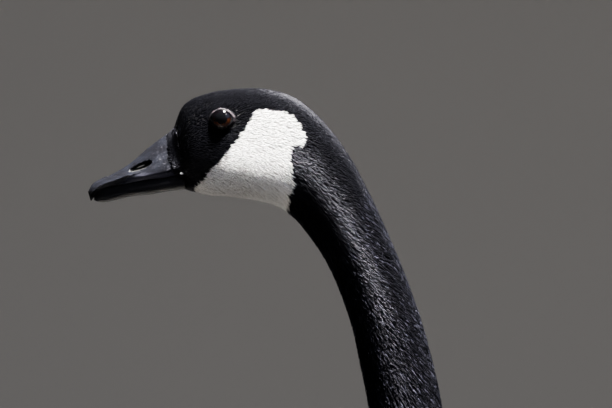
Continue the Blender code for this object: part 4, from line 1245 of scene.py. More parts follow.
# The wing's shell: how deep it lies under the vanes, how thick it is behind and how much thicker in
# front, how far inside the wing's edges it ends, and how its lower edge rises from CORE_REAR back.
CORE_STATIONS, CORE_ACROSS = 44, 20
CORE_SINK = 5.0
CORE_THIN, CORE_THICKER = 2.0, 8.0
CORE_MARGIN = 0.03
CORE_REAR, CORE_RISE = 330.0, 0.42
for wing_word, wing_side in SIDES.items():
    rings = []
    for x in np.linspace(WING_FRONT + 6, WING_BACK, CORE_STATIONS):
        upper, lower = wing_edges(x)
        lower -= CORE_RISE * max(0.0, x - CORE_REAR) / (WING_BACK - CORE_REAR)
        turns = np.linspace(upper + CORE_MARGIN, lower - CORE_MARGIN, CORE_ACROSS) * wing_side
        thick = CORE_THICKER * (1 - (x - WING_FRONT) / (WING_BACK - WING_FRONT)) + CORE_THIN
        outer, inner = (
            wing_surface(np.full(CORE_ACROSS, x), turns, np.full(CORE_ACROSS, -depth))
            for depth in (CORE_SINK, CORE_SINK + thick)
        )
        rings.append(np.concatenate([outer, inner[::-1]]))
    points = place_in_frame(np.concatenate(rings))
    core_faces = ring_faces(CORE_STATIONS, 2 * CORE_ACROSS)
    # The shell is down in painted shade, so that gaps between the vanes look deep.
    core = new_piece(f"wing_core_{wing_word}", points, core_faces, down_and_painted_shade)
    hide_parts(f"wing_{wing_word}")
    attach(core, "root")

# A vane's columns across, its thickness, and the height of the shaft along its middle column.
VANE_COLUMNS = (-1.0, -0.92, -0.84, -0.45, -0.06, 0.0, 0.06, 0.45, 0.84, 0.92, 1.0)
VANE_THICKNESS = 0.35
SHAFT_HEIGHT = 0.30
# How wide the pale rim at a vane's tip is, how much a vane sinks towards its edges for each square
# millimetre from the shaft, and how much darker the shaft is.
RIM_WIDTH = 1.8
VANE_CROWN = 0.012
SHAFT_DARK = 0.25
TIP_ANGLES = np.radians((0, 24, 44, 60, 73, 86))


def vane_stops(length, width):
    """A vane's outline: shares of its length and width, with a tip rounded by half its width."""
    tip = 0.46 * width / length
    stops = [(0.0, 0.58), (0.30 * (1 - tip), 0.86), (0.65 * (1 - tip), 0.97)]
    stops += [(1 - tip + tip * math.sin(a), math.cos(a) ** 0.72) for a in TIP_ANGLES]
    return stops


def vane_shape(length, width):
    """A flight feather or covert: top and under side of several columns, closed round its edge."""
    stops = vane_stops(length, width)
    wide = len(VANE_COLUMNS)
    points = []
    for level in (0.0, -1.0):
        for along, share in stops:
            for c in VANE_COLUMNS:
                shaft = SHAFT_HEIGHT * (1 - 0.8 * along) * (c == 0.0) * (level == 0.0)
                points.append((along, share * c, shaft + level * VANE_THICKNESS * (1 - 0.6 * abs(c))))
    half = len(points) // 2
    faces = []
    for i in range(len(stops) - 1):
        for j in range(wide - 1):
            a = wide * i + j
            faces.append((a, a + wide, a + wide + 1, a + 1))
            faces.append((a + half, a + half + 1, a + half + wide + 1, a + half + wide))
        for j in (0, wide - 1):
            a = wide * i + j
            faces.append((a, a + half, a + half + wide, a + wide) if j == 0 else
                         (a, a + wide, a + half + wide, a + half))
    last = wide * (len(stops) - 1)
    for j in range(wide - 1):
        faces.append((j, j + 1, j + 1 + half, j + half))
        faces.append((last + j, last + j + half, last + j + 1 + half, last + j + 1))
    return np.array(points), faces


# The wing's tiers, from the deepest to the outermost: the first and the last feather's root x and
# root turn, tip x and tip turn, and width. Turns are in degrees. rise is how far the first feather's
# tip stands out, last_rise the same for the last one, which may run in under the scapulars, and
# shingle how steeply each lower edge lies over the feather below.
TIER_COLUMNS = ("count", "first", "last", "rise", "last_rise", "shingle", "tone", "rim")
WING_TIERS = {
    "primaries": (
        7, (322, 92, 577, 85, 19), (340, 66, 480, 58, 25), -0.9, -0.9, 0.10, "1f1b18", "4a3f37",
    ),
    "secondaries": (
        9, (196, 94, 330, 99, 26), (330, 60, 446, 64, 27), 1.4, 1.4, 0.13, "27211e", "6e6154",
    ),
    "tertials": (
        4, (300, 46, 464, 50, 38), (300, 10, 446, 20, 38), 4.2, 4.2, 0.10, "302822", "817262",
    ),
    "greater_coverts": (
        10, (118, 86, 200, 98, 31), (256, 42, 340, 53, 35), 4.4, -2.0, 0.15, "352c26", "8f806f",
    ),
    "median_coverts": (
        10, (86, 82, 154, 96, 28), (206, 38, 280, 49, 33), 5.0, -2.0, 0.15, "382f28", "948573",
    ),
    "lesser_coverts_rear": (
        10, (80, 78, 128, 93, 25), (172, 32, 236, 45, 29), 5.4, -1.6, 0.14, "393029", "968776",
    ),
    "lesser_coverts_middle": (
        10, (77, 74, 111, 88, 21), (146, 30, 202, 42, 25), 5.6, -1.6, 0.14, "3a322b", "978979",
    ),
    "lesser_coverts_front": (
        9, (75, 70, 99, 81, 18), (122, 28, 172, 39, 23), 5.6, -1.2, 0.14, "3c332c", "998b7a",
    ),
    "shoulder_coverts": (
        9, (75, 62, 90, 71, 16), (100, 16, 142, 24, 21), 5.2, 0.0, 0.14, "3e352f", "9b8e7e",
    ),
    "rear_scapulars": (
        5, (240, 9, 344, 14, 34), (232, 44, 330, 51, 36), 6.6, 6.6, 0.12, "352c26", "8f806f",
    ),
    "middle_scapulars": (
        5, (184, 8, 278, 12, 33), (174, 42, 262, 50, 35), 6.8, 6.8, 0.12, "382f28", "938472",
    ),
    "front_scapulars": (
        5, (132, 8, 216, 11, 31), (122, 40, 200, 49, 33), 6.4, 6.4, 0.12, "3a3129", "968876",
    ),
    "collar_scapulars": (
        5, (88, 9, 160, 11, 26), (84, 36, 146, 44, 28), 5.8, 5.8, 0.12, "3c332c", "988a79",
    ),
}
ROOT_SINK = 2.6


def varied_tints(tone, low, high, draw, count, template):
    """A hex tone for every point of many feathers, with a brightness of its own for each feather."""
    tones = np.array(colour(tone)[:3]) * draw.uniform(low, high, count)[:, None]
    return np.repeat(tones[:, None, :], len(template), axis=1)


def wing_row(name, tier, seed, side, root_x, root_turn, tip_x, tip_turn, width):
    """A row of wing or back feathers as one mesh; the numbers are arrays with one line a feather."""
    draw = np.random.default_rng(seed)
    length = float(np.mean(tip_x - root_x))
    template, faces = vane_shape(length, float(np.mean(width)))
    along, across, ridge = template.T
    count = len(side)
    tip_x = tip_x + draw.normal(0, 1.6, (count, 1))
    tip_turn = tip_turn + draw.normal(0, 0.5, (count, 1))
    x = root_x + (tip_x - root_x) * along
    wide = width / 2 * across
    half_width = wing_surface(x, np.full(x.shape, math.pi / 2), np.zeros(x.shape))[..., 1]
    turn = np.radians(root_turn + (tip_turn - root_turn) * along) + wide / half_width
    sink = tier.get("sink", ROOT_SINK)
    lift = -sink + (tier["rise"] + sink) * along + ridge - VANE_CROWN * wide ** 2
    lift = lift + tier["shingle"] * wide * (1 - 0.6 * (1 - along)) + draw.normal(0, 0.12, (count, 1))
    points = wing_surface(x.ravel(), (turn * side).ravel(), lift.ravel()).reshape(count, -1, 3)
    tints = varied_tints(tier["tone"], 0.88, 1.12, draw, count, template)
    tints = tints * (1 - SHAFT_DARK * (np.abs(across) < 0.03))[None, :, None]
    tints = pale_rim(tier["rim"], 0.8, 1 - RIM_WIDTH / length)(tints, along, across)
    roots = wing_unwrap(root_x[:, 0], np.radians(root_turn[:, 0]) * side[:, 0])
    piece = join_feathers(name, points, template, faces, roots, tints, wing_feather, True)
    return piece


for number, (tier_name, tier_row) in enumerate(WING_TIERS.items()):
    tier = dict(zip(TIER_COLUMNS, tier_row))
    share = np.tile(np.linspace(0, 1, tier["count"]), 2)[:, None]
    both_sides = np.repeat([-1, 1], tier["count"])[:, None]
    rise = tier["rise"] + (tier["last_rise"] - tier["rise"]) * share ** 2
    wing_row(tier_name, {**tier, "rise": rise}, 40 + number, both_sides, *(
        first + (last - first) * share for first, last in zip(tier["first"], tier["last"])
    ))

# The mantle: broad feathers along the spine that close the roof between the folded wings.
MANTLE = {
    "count": 19, "first_x": 140.0, "step": 14.0, "length": 58.0, "width": 36.0, "turn": 4.0,
    "rise": 4.8, "sink": 9.0, "shingle": 0.0, "tone": "342b25", "rim": "8d7e6b",
}
mantle_number = np.arange(MANTLE["count"])[:, None]
mantle_x = MANTLE["first_x"] + MANTLE["step"] * mantle_number
mantle_side = np.where(mantle_number % 2 == 0, -1, 1)
mantle_turn, mantle_width = (np.full(mantle_x.shape, MANTLE[key]) for key in ("turn", "width"))
wing_row(
    "mantle_feathers", MANTLE, 60, mantle_side, mantle_x, mantle_turn, mantle_x + MANTLE["length"],
    mantle_turn, mantle_width,
)

# The tail: sixteen black feathers in a shallow fan, with white coverts over and under their roots.
TAIL_START = BODY_ROWS["tail_root"][0] + 0.3
TAIL_MIDDLE = (BODY_ROWS["tail_root"][1] + BODY_ROWS["tail_root"][3]) / 2
TAIL_LENGTH = 140.0
TAIL_DROOP = math.radians(9)
# The flesh in the tail: its half sizes, the shares of the tail's length where it starts and ends, the
# shares of its half sizes that it keeps under the feathers, and how much it narrows to the rear.
TAIL_CORE = {
    "root_half_height": 24.0, "end_half_height": 2.0, "half_width": 36.0, "start": -0.06, "end": 0.30,
    "wide": 0.90, "high": 0.80, "under": 3.0, "narrowing": 0.9, "taper": 2.2, "rings": 12, "sides": 32,
}
# Each row: where its roots start behind the tail's root, the feathers' length and how much shorter the
# outer ones are, their width, half the width of the row's roots, the fan's half angle in degrees, how
# far the outer tips drop, the step between left and right half, how steeply the row is roofed, the
# height of the roots as a share of the flesh's, and the height of the tips.
TAIL_COLUMNS = (
    "count", "start", "length", "rounding", "width", "half_root",
    "spread", "drop", "step", "roof", "root_height",
    "tip_height", "tone", "rim", "shingle",
)
TAIL_ROWS = {
    "tail_feathers": (
        16, 12.0, 128.0, 14.0, 23.0, 26.0, 12.0, 11.0, 1.2, 0.0, 0.0, 3.0,
        "111014", "1a191d", 0.03,
    ),
    # The white coverts carry painted shade: their vanes are a light grey, and only their rims are white.
    "under_coverts_long": (
        11, 6.0, 88.0, 15.0, 21.0, 26.0, 8.0, 6.0, -1.2, -2.0, -0.84, -11.5,
        "d3cfc6", "f2efe8", 0.10,
    ),
    "under_coverts_short": (
        11, -14.0, 62.0, 11.0, 21.0, 30.0, 6.0, 5.0, -1.2, -3.0, -0.98, -19.0,
        "d3cfc6", "f2efe8", 0.10,
    ),
    "upper_coverts_long": (
        12, 4.0, 60.0, 12.0, 17.0, 28.0, 8.0, 9.0, 1.2, 6.0, 0.86, 12.0,
        "d3cfc6", "f2efe8", 0.10,
    ),
    "upper_coverts_short": (
        12, -16.0, 48.0, 9.0, 17.0, 30.0, 6.0, 7.0, 1.2, 6.0, 1.0, 18.5,
        "d3cfc6", "f2efe8", 0.10,
    ),
}


def tail_core(share):
    """The height of the tail's middle and its half height, at a share of the tail's length."""
    middle = TAIL_MIDDLE - TAIL_LENGTH * share * math.tan(TAIL_DROOP)
    root_share = np.clip(1 - share, 0.0, 1.0) ** TAIL_CORE["taper"]
    high, low = TAIL_CORE["root_half_height"], TAIL_CORE["end_half_height"]
    return middle, low + (high - low) * root_share


def tail_row(name, row, seed):
    """All the feathers of one row of the tail; they count from the left edge, -1, to the right, 1."""
    draw = np.random.default_rng(seed)
    template, faces = vane_shape(row["length"], row["width"])
    along, across, ridge = template.T
    place = np.linspace(-1, 1, row["count"])[:, None]
    count = len(place)
    spread = np.radians(row["spread"]) * place + draw.normal(0, 0.008, (count, 1))
    drop = row["drop"] * np.abs(place) + row["step"] * (place < 0)
    length = row["length"] - row["rounding"] * place ** 2 + draw.normal(0, 1.0, (count, 1))
    reach = length * along
    wide = row["width"] / 2 * across
    x = TAIL_START + row["start"] + reach * np.cos(spread) - wide * np.sin(spread)
    y = row["half_root"] * place + reach * np.sin(spread) + wide * np.cos(spread)
    middle, half_height = tail_core((x - TAIL_START) / TAIL_LENGTH)
    over = -1 if row["tip_height"] < 0 else 1
    height = row["root_height"] * half_height * (1 - along) + row["tip_height"] * along
    tilt = row["shingle"] * wide * np.sign(place + 1e-6) - VANE_CROWN * wide ** 2
    z = middle + height - drop * along - row["roof"] * y ** 2 / 1000 + over * (ridge + tilt)
    points = np.stack([x, y, z], axis=-1)
    tints = varied_tints(row["tone"], 0.9, 1.08, draw, count, template)
    tints = pale_rim(row["rim"], 0.7, 1 - RIM_WIDTH / row["length"])(tints, along, across)
    roots = np.stack([0.5 + place[:, 0] * 0.3, np.full(count, 0.1 + row["start"] / 400)], axis=-1)
    order = faces if over > 0 else [face[::-1] for face in faces]
    finish = black_feather if name == "tail_feathers" else white_feather
    piece = join_feathers(name, points, template, order, roots, tints, finish, True)
    return piece


for number, (row_name, row) in enumerate(TAIL_ROWS.items()):
    tail_row(row_name, dict(zip(TAIL_COLUMNS, row)), 70 + number)
tail_rings = []
angles = whole_circle(TAIL_CORE["sides"])
for share in np.linspace(TAIL_CORE["start"], TAIL_CORE["end"], TAIL_CORE["rings"]):
    middle, half_height = tail_core(share)
    half_width = TAIL_CORE["half_width"] * (TAIL_CORE["wide"] - TAIL_CORE["narrowing"] * max(share, 0.0))
    tail_rings.append(np.stack([
        np.full(len(angles), TAIL_START + TAIL_LENGTH * share), half_width * np.sin(angles),
        middle + (half_height - TAIL_CORE["under"]) * TAIL_CORE["high"] * np.cos(angles),
    ], axis=-1))
tail_faces = ring_faces(TAIL_CORE["rings"], TAIL_CORE["sides"])
tail_points = place_in_frame(np.concatenate(tail_rings))
# The flesh is down in painted shade, so that gaps between the feathers look deep.
tail_core_piece = new_piece("tail_core", tail_points, tail_faces, down_and_painted_shade)
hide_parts("tail")
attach(tail_core_piece, "root")

# The legs: feathered thighs, then bare black skin over bone from the heel down, with small scales,
# webbed toes and blunt claws. The bare part is the solids' own form, closed and softened.
FOOT_SPREAD = 52.0
FOOT_X = 262.0
FOOT_STAGGER = 14.0
HOCK_HEIGHT = 118.0
LEG_VOXEL = 1.0
THIGH_RINGS, THIGH_SIDES = 40, 36


def thigh_rows(side):
    """The thigh's stops from the body down: centre x, y and z and the half sizes along X and Y."""
    x = FOOT_X + side * FOOT_STAGGER
    y = side * FOOT_SPREAD
    return np.array([
        (x - 8, y - side * 8, HOCK_HEIGHT + 150, 40, 28),
        (x - 4, y - side * 4, HOCK_HEIGHT + 112, 44, 32),
        (x + 2, y, HOCK_HEIGHT + 78, 34, 26),
        (x + 10, y, HOCK_HEIGHT + 48, 22, 18),
        (x + 16, y, HOCK_HEIGHT + 22, 13, 11),
        (x + 18, y, HOCK_HEIGHT + 6, 9.5, 8.5),
    ])


def thigh_surface(side):
    """The outer form of one thigh: places run down it, and turn 0 points rearwards."""
    rows = thigh_rows(side)

    def surface(place, turn, lift):
        centre_x, y, z, half_x, half_y = np.moveaxis(spline(rows, place), -1, 0)
        return np.stack([
            centre_x + (half_x + lift) * np.cos(turn),
            y + (half_y + lift) * np.sin(turn),
            z,
        ], axis=-1)

    return surface


def thigh_unwrap(place, turn):
    return np.stack([0.5 + turn / (2 * math.pi), place / 6], axis=-1)


def thigh_spacing(place, turn):
    """Feathers grow smaller down to the heel."""
    return np.interp(place, (0, 5), (4.6, 1.6))


leg_skin, tree, shader = new_material("leg_skin", **{"Roughness": 0.48, "Specular IOR Level": 0.45})
# Scaled leg skin: black plates about 1.3 mm across, greyer and drier along their edges.
where = add_node(tree, "ShaderNodeTexCoord")
plates = add_node(
    tree, "ShaderNodeTexVoronoi", {"feature": "DISTANCE_TO_EDGE"}, {"Scale": 760.0},
    {"Vector": where.outputs["Object"]},
)
plate_ramp = add_node(
    tree, "ShaderNodeValToRGB", links={"Fac": plates.outputs["Distance"]},
    stops=((0.0, "3a3836"), (0.16, "1b1a1b")),
)
tree.links.new(plate_ramp.outputs["Color"], shader.inputs["Base Color"])
relief = add_node(
    tree, "ShaderNodeBump", None, {"Strength": 0.7, "Distance": 0.0005},
    {"Height": plates.outputs["Distance"]},
)
tree.links.new(relief.outputs["Normal"], shader.inputs["Normal"])


def copied_solid(name, nodes):
    """One closed mesh from copies of CAD nodes, remeshed and softened so that no facet shows."""
    work = bmesh.new()
    for node in nodes:
        work.from_mesh(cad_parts[node].data)
    bmesh.ops.remove_doubles(work, verts=work.verts, dist=1e-6)
    mesh = bpy.data.meshes.new(name)
    work.to_mesh(mesh)
    work.free()
    piece = add_object(name, mesh)
    remesh = piece.modifiers.new("close", "REMESH")
    remesh.mode = "VOXEL"
    remesh.voxel_size = LEG_VOXEL * MM
    remesh.use_smooth_shade = True
    soften = piece.modifiers.new("soften", "SMOOTH")
    soften.factor = 0.5
    soften.iterations = 4
    apply_modifiers(piece)
    piece.data.materials.clear()
    piece.data.materials.append(leg_skin)
    return piece


for leg_word, leg_side in SIDES.items():
    leg = copied_solid(f"leg_skin_{leg_word}", (f"shank_{leg_word}", f"foot_{leg_word}"))
    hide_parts(f"shank_{leg_word}", f"foot_{leg_word}")
    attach(leg, "root")

    surface = thigh_surface(leg_side)
    grid_place, grid_turn = grid(np.linspace(0.0, 5.0, THIGH_RINGS), whole_circle(THIGH_SIDES))
    points = surface(grid_place, grid_turn, -np.interp(grid_place, (0, 4, 5), (4.0, 2.0, 1.2)))
    thigh_faces = ring_faces(THIGH_RINGS, THIGH_SIDES)
    # The thigh's skin is down in painted shade, so that gaps between the feathers look deep.
    thigh = new_piece(f"thigh_skin_{leg_word}", place_in_frame(points), thigh_faces, down_and_painted_shade)
    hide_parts(f"thigh_{leg_word}")
    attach(thigh, "root")

    p, t = spread_roots(surface, (0.5, 4.9), whole_turn, thigh_spacing, seed=81)
    room = thigh_spacing(p, t)
    draw = np.random.default_rng(82)
    thigh_sizes = {
        "length": room * draw.uniform(2.8, 3.4, len(p)),
        "width": room * draw.uniform(1.8, 2.2, len(p)),
        "ridge": 0.05 * room,
        "sink": np.interp(p, (0, 4, 5), (4.3, 2.3, 1.5)),
        "rise": draw.uniform(-0.8, 0.0, len(p)),
        "curl": draw.uniform(0.0, 0.3, len(p)),
        "cup": 0.05,
        "stray": 0.1,
    }
    pale = np.array(colour("a39481")[:3])
    brown = np.array(colour("6a5b4d")[:3])
    tones = brown + (pale - brown) * np.interp(p, (0.5, 4.5), (1.0, 0.2))[:, None]
    coat = feather_coat(
        f"thigh_coat_{leg_word}", surface, thigh_unwrap, p, t, thigh_sizes, contour, contour_feather,
        tones, seed=83, fringe=pale_rim("d8cdbd", 0.28), smooth=True,
    )

# The claws: blunt black horn that goes on from each front toe.
# Each toe's direction in degrees and its length, and the toes' radii at root and end.
TOES = {"inner": (24.0, 62.0), "middle": (-3.0, 84.0), "outer": (-28.0, 76.0)}
TOE_RADII = (5.6, 3.4)
TOE_ROOT_BACK = 4.0
# The claws start a little inside the toe. Their stops: a share of the length, half width, half
# height, and the middle's height over the floor.
CLAW_START = 1.2
CLAW_LENGTH = 10.4
CLAW_STOPS = np.array([
    (0.0, 2.7, 2.5, 3.4), (0.35, 2.4, 2.2, 3.0), (0.7, 1.7, 1.5, 2.2), (0.93, 0.9, 0.8, 1.5),
    (1.0, 0.25, 0.25, 1.2),
])
CLAW_RINGS, CLAW_SIDES = 18, 20


def toe_direction(side, turn):
    """The flat direction of a toe: turn 0 points ahead, and a positive turn points to the midline."""
    return np.array([-math.cos(math.radians(turn)), -side * math.sin(math.radians(turn)), 0.0])


def toe_root(side):
    return np.array([FOOT_X + side * FOOT_STAGGER - TOE_ROOT_BACK, side * FOOT_SPREAD, 0.0])


# Black keratin, worn smooth by the ground: a soft gloss.
claw_horn = new_material("claw_horn", **{"Roughness": 0.35, "Base Color": colour("16151a")})[0]
claw_stations = spline(CLAW_STOPS, np.linspace(0, len(CLAW_STOPS) - 1, CLAW_RINGS))
for claw_word, claw_side in SIDES.items():
    for toe_name, (toe_turn, toe_length) in TOES.items():
        direction = toe_direction(claw_side, toe_turn)
        across = np.array([-direction[1], direction[0], 0.0])
        start = toe_root(claw_side) + direction * (toe_length - CLAW_START)
        rings = []
        for share, half_wide, half_high, height in claw_stations:
            centre = start + direction * CLAW_LENGTH * share + np.array([0.0, 0.0, height])
            for a in whole_circle(CLAW_SIDES):
                upwards = np.array([0, 0, half_high * math.sin(a)])
                rings.append(centre + across * half_wide * math.cos(a) + upwards)
        claw = new_piece(
            f"claw_horn_{claw_word}_{toe_name}", place_in_frame(rings),
            ring_faces(CLAW_RINGS, CLAW_SIDES), claw_horn,
        )
        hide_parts(f"claw_{claw_word}_{toe_name}")
        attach(claw, "root")

# The scutes: overlapping plates of horny skin in a row down the front of each shank and along the top
# of each toe. Geometry Nodes set one flat dome after another along each line, wide as the limb there.
SCUTE_SPACING = 2.6
# The shank's front from the foot up: the shank's middle behind the foot's, its half sizes along X and
# Y, and the height.
SHANK_FRONT = np.array([
    (1.0, 6.5, 6.0, 24.0), (2.0, 5.6, 4.8, 34.0), (8.0, 5.6, 4.6, 78.0), (13.0, 6.8, 5.4, 100.0),
    (16.0, 9.5, 7.4, 112.0),
])
# The scutes' middles lie this deep in the shank at its ends, and less deep by the show at its middle.
SCUTE_SUNK, SCUTE_SHOW = 1.3, 0.55
# A toe swells at this many joints, by this share, and its top is this many radii above the floor.
TOE_JOINTS, TOE_SWELL, TOE_TOP = 3, 0.10, 1.50
# A dome's half length as a share of the spacing, and its half width and height of the limb's.
SCUTE_SHARES = {"length": 0.66, "width": 0.80, "height": 0.20}


def scute_line(side, line_name):
    """A line that scutes follow on one leg: its points, the limb's half width there, and outward."""
    if line_name == "shank":
        stops = spline(SHANK_FRONT, np.linspace(0, len(SHANK_FRONT) - 1, 14))
        x, y = FOOT_X + side * FOOT_STAGGER, side * FOOT_SPREAD
        sunk = SCUTE_SUNK - SCUTE_SHOW * np.sin(np.linspace(0, math.pi, len(stops)))
        points = [(x + offset - deep + s, y, height) for (offset, deep, _, height), s in zip(stops, sunk)]
        return points, [wide for _, _, wide, _ in stops], (-1.0, 0.0, 0.15)
    turn, length = TOES[line_name]
    shares = np.linspace(0.16, 0.98, 10)
    radii = TOE_RADII[0] + (TOE_RADII[1] - TOE_RADII[0]) * shares
    radii = radii * (1 + TOE_SWELL * np.cos(shares * TOE_JOINTS * 2 * math.pi))
    direction = toe_direction(side, turn)
    points = [
        toe_root(side) + direction * length * s + (0, 0, TOE_TOP * r) for s, r in zip(shares, radii)
    ]
    return points, list(radii), (0.0, 0.0, 1.0)


def make_scute_tree():
    """Geometry nodes that set a flat dome every Spacing along the mesh's edge lines."""
    tree = bpy.data.node_groups.new("scutes_along_lines", "GeometryNodeTree")
    for socket, way, kind in (
        ("Geometry", "OUTPUT", "Geometry"), ("Lines", "INPUT", "Geometry"), ("Spacing", "INPUT", "Float"),
        ("Material", "INPUT", "Material"),
    ):
        tree.interface.new_socket(socket, in_out=way, socket_type=f"NodeSocket{kind}")
    given = add_node(tree, "NodeGroupInput")
    curve = add_node(tree, "GeometryNodeMeshToCurve", links={"Mesh": given.outputs["Lines"]})
    steps = add_node(
        tree, "GeometryNodeResampleCurve", {"mode": "LENGTH"},
        links={"Curve": curve.outputs["Curve"], "Length": given.outputs["Spacing"]},
    )
    tangent = add_node(tree, "GeometryNodeInputTangent")
    outward, girth = (
        add_node(tree, "GeometryNodeInputNamedAttribute", {"data_type": kind}, {"Name": word})
        for word, kind in (("outward", "FLOAT_VECTOR"), ("girth", "FLOAT"))
    )
    along = add_node(
        tree, "FunctionNodeAlignRotationToVector", {"axis": "X"},
        links={"Vector": tangent.outputs["Tangent"]},
    )
    upright = add_node(
        tree, "FunctionNodeAlignRotationToVector", {"axis": "Z", "pivot_axis": "X"},
        links={"Rotation": along.outputs["Rotation"], "Vector": outward.outputs["Attribute"]},
    )
    half_length, half_width, height = (
        add_node(tree, "ShaderNodeMath", {"operation": "MULTIPLY"}, {1: SCUTE_SHARES[key]}, {0: source})
        for key, source in (
            ("length", given.outputs["Spacing"]),
            ("width", girth.outputs["Attribute"]),
            ("height", girth.outputs["Attribute"]),
        )
    )
    size = add_node(
        tree, "ShaderNodeCombineXYZ",
        links={
            "X": half_length.outputs["Value"], "Y": half_width.outputs["Value"],
            "Z": height.outputs["Value"],
        },
    )
    dome = add_node(tree, "GeometryNodeMeshUVSphere", None, {"Segments": 14, "Rings": 8, "Radius": 1.0})
    plates = add_node(
        tree, "GeometryNodeInstanceOnPoints",
        links={
            "Points": steps.outputs["Curve"], "Instance": dome.outputs["Mesh"],
            "Rotation": upright.outputs["Rotation"], "Scale": size.outputs["Vector"],
        },
    )
    real = add_node(tree, "GeometryNodeRealizeInstances", links={"Geometry": plates.outputs["Instances"]})
    rounded = add_node(tree, "GeometryNodeSetShadeSmooth", links={"Geometry": real.outputs["Geometry"]})
    finish = add_node(
        tree, "GeometryNodeSetMaterial",
        links={"Geometry": rounded.outputs["Geometry"], "Material": given.outputs["Material"]},
    )
    add_node(tree, "NodeGroupOutput", links={"Geometry": finish.outputs["Geometry"]})
    return tree


def apply_tree(piece, tree, **inputs):
    """Sets the modifier's inputs by name, then keeps its result as the piece's own mesh."""
    modifier = piece.modifiers.new(tree.name, "NODES")
    modifier.node_group = tree
    for item in tree.interface.items_tree:
        if item.in_out == "INPUT" and item.name in inputs:
            modifier[item.identifier] = inputs[item.name]
    apply_modifiers(piece)


scute_tree = make_scute_tree()
for scute_word, scute_side in SIDES.items():
    points, girths, outwards, edges = [], [], [], []
    for line_name in ("shank", *TOES):
        line, girth, outward = scute_line(scute_side, line_name)
        edges += [(len(points) + i, len(points) + i + 1) for i in range(len(line) - 1)]
        points += list(line)
        girths += [g * MM for g in girth]
        outwards += [outward] * len(line)
    mesh = bpy.data.meshes.new(f"leg_scutes_{scute_word}")
    mesh.from_pydata([tuple(p) for p in place_in_frame(points)], edges, [])
    set_attribute(mesh, "girth", "FLOAT", girths)
    set_attribute(mesh, "outward", "FLOAT_VECTOR", outwards)
    scutes = add_object(mesh.name, mesh)
    apply_tree(scutes, scute_tree, Spacing=SCUTE_SPACING * MM, Material=leg_skin)
    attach(scutes, "root")

# The studio: a plain pale floor that curves up into a plain backdrop, soft lamps, and a camera
# level with the goose's head at the photo's framing.
STUDIO_FLOOR = "b2afaa"
PHOTO_SIZE = (612, 408)
CAMERA_DISTANCE = 3.0
SENSOR_WIDTH = 36.0

studio_paper, tree, shader = new_material(
    "studio_paper", **{"Roughness": 0.9, "Specular IOR Level": 0.1, "Base Color": colour(STUDIO_FLOOR)}
)
# The paper shows only from inside, so that a camera outside it sees past it.
facing = add_node(tree, "ShaderNodeNewGeometry")
unseen = add_node(tree, "ShaderNodeBsdfTransparent")
paper = add_node(
    tree, "ShaderNodeMixShader",
    links={0: facing.outputs["Backfacing"], 1: shader.outputs["BSDF"], 2: unseen.outputs["BSDF"]},
)
tree.links.new(paper.outputs["Shader"], tree.nodes["Material Output"].inputs["Surface"])
# The floor runs out all round and curves up into a low wall: radius and height, in metres.
FLOOR_RADIUS, CURVE_RADIUS, WALL_TOP = 4.8, 1.2, 2.4
SWEEP_SIDES = 96
profile = [(1.5, 0.0), (3.0, 0.0), (FLOOR_RADIUS, 0.0)]
profile += [
    (FLOOR_RADIUS + CURVE_RADIUS * math.sin(a), CURVE_RADIUS - CURVE_RADIUS * math.cos(a))
    for a in np.linspace(0.1, math.pi / 2, 12)
]
profile += [(FLOOR_RADIUS + CURVE_RADIUS, WALL_TOP)]
sweep_mesh = bpy.data.meshes.new("studio_sweep")
work = bmesh.new()
rings = [[
    work.verts.new((radius * math.cos(a), radius * math.sin(a), height))
    for a in whole_circle(SWEEP_SIDES)
] for radius, height in profile]
work.faces.new(rings[0])
for inner, outer in zip(rings, rings[1:]):
    for i in range(SWEEP_SIDES):
        j = (i + 1) % SWEEP_SIDES
        work.faces.new((inner[i], outer[i], outer[j], inner[j]))
work.normal_update()
work.to_mesh(sweep_mesh)
work.free()
sweep_mesh.polygons.foreach_set("use_smooth", [True] * len(sweep_mesh.polygons))
sweep_mesh.materials.append(studio_paper)
sweep = add_object("studio_sweep", sweep_mesh)

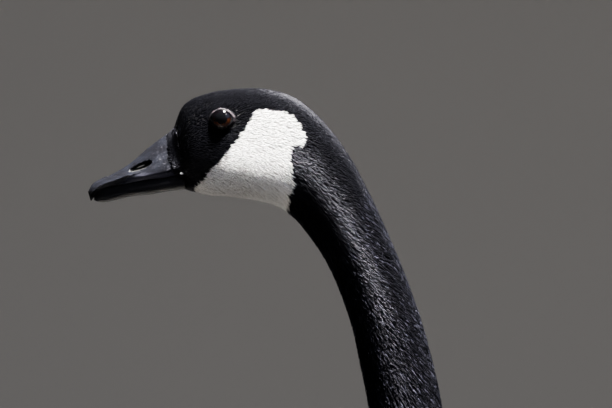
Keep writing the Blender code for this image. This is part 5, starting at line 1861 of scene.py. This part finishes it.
aim_x, aim_z = from_photo((PHOTO_SIZE[0] / 2, PHOTO_SIZE[1] / 2))
aim = Vector((EYE_X + aim_x * MM, 0.0, aim_z * MM))
camera_data = bpy.data.cameras.new("camera")
camera_data.sensor_width = SENSOR_WIDTH
camera_data.lens = SENSOR_WIDTH * CAMERA_DISTANCE / (PHOTO_SIZE[0] * PHOTO_MM * MM)
camera_data.clip_end = 50.0
camera = add_object("camera", camera_data)
camera.location = aim + Vector((0.0, -CAMERA_DISTANCE, 0.0))
camera.rotation_euler = (math.pi / 2, 0.0, 0.0)
bpy.context.scene.camera = camera


def softbox(name, location, target, size, spread, power, tone):
    """A soft lamp that faces a target: its size in metres, its spread in degrees and its watts."""
    data = bpy.data.lights.new(name, "AREA")
    data.shape = "DISK"
    data.size = size
    data.spread = math.radians(spread)
    data.energy = power
    data.color = colour(tone)[:3]
    lamp = add_object(name, data)
    lamp.location = location
    lamp.visible_camera = False
    lamp.rotation_euler = (Vector(target) - Vector(location)).to_track_quat("-Z", "Y").to_euler()


# A narrow lamp high over the head, a broad cool one behind it like the sky, one for the body, a weak
# one from the far side, and dim ones for the backdrop and the room.
HEAD_TARGET = (EYE_X + 0.01, 0.0, 0.79)
BODY_TARGET = (0.16, 0.0, 0.34)
softbox("key_lamp", (0.27, -0.43, 2.99), HEAD_TARGET, 0.45, 20, 24.0, "fffcf8")
softbox("sky_lamp", (1.14, -1.0, 1.76), HEAD_TARGET, 1.5, 140, 8.0, "c4d1ff")
softbox("body_lamp", (1.2, -1.2, 2.4), BODY_TARGET, 0.5, 26, 5.5, "fff8f0")
softbox("rim_lamp", (1.5, 0.9, 1.9), (0.0, 0.0, 0.62), 0.7, 150, 1.5, "f2f4ff")
softbox("backdrop_lamp", (0.0, 2.6, 2.6), (0.0, 6.0, 0.6), 1.0, 140, 12.0, "fff8f0")
softbox("room_lamp", (0.0, 0.0, 5.0), (0.0, 0.0, 0.0), 5.0, 180, 45.0, "e6ebf8")

world = bpy.data.worlds.new("studio_air")
world.use_nodes = True
background = world.node_tree.nodes["Background"]
background.inputs["Color"].default_value = colour("c4cad6")
background.inputs["Strength"].default_value = 0.19
bpy.context.scene.world = world
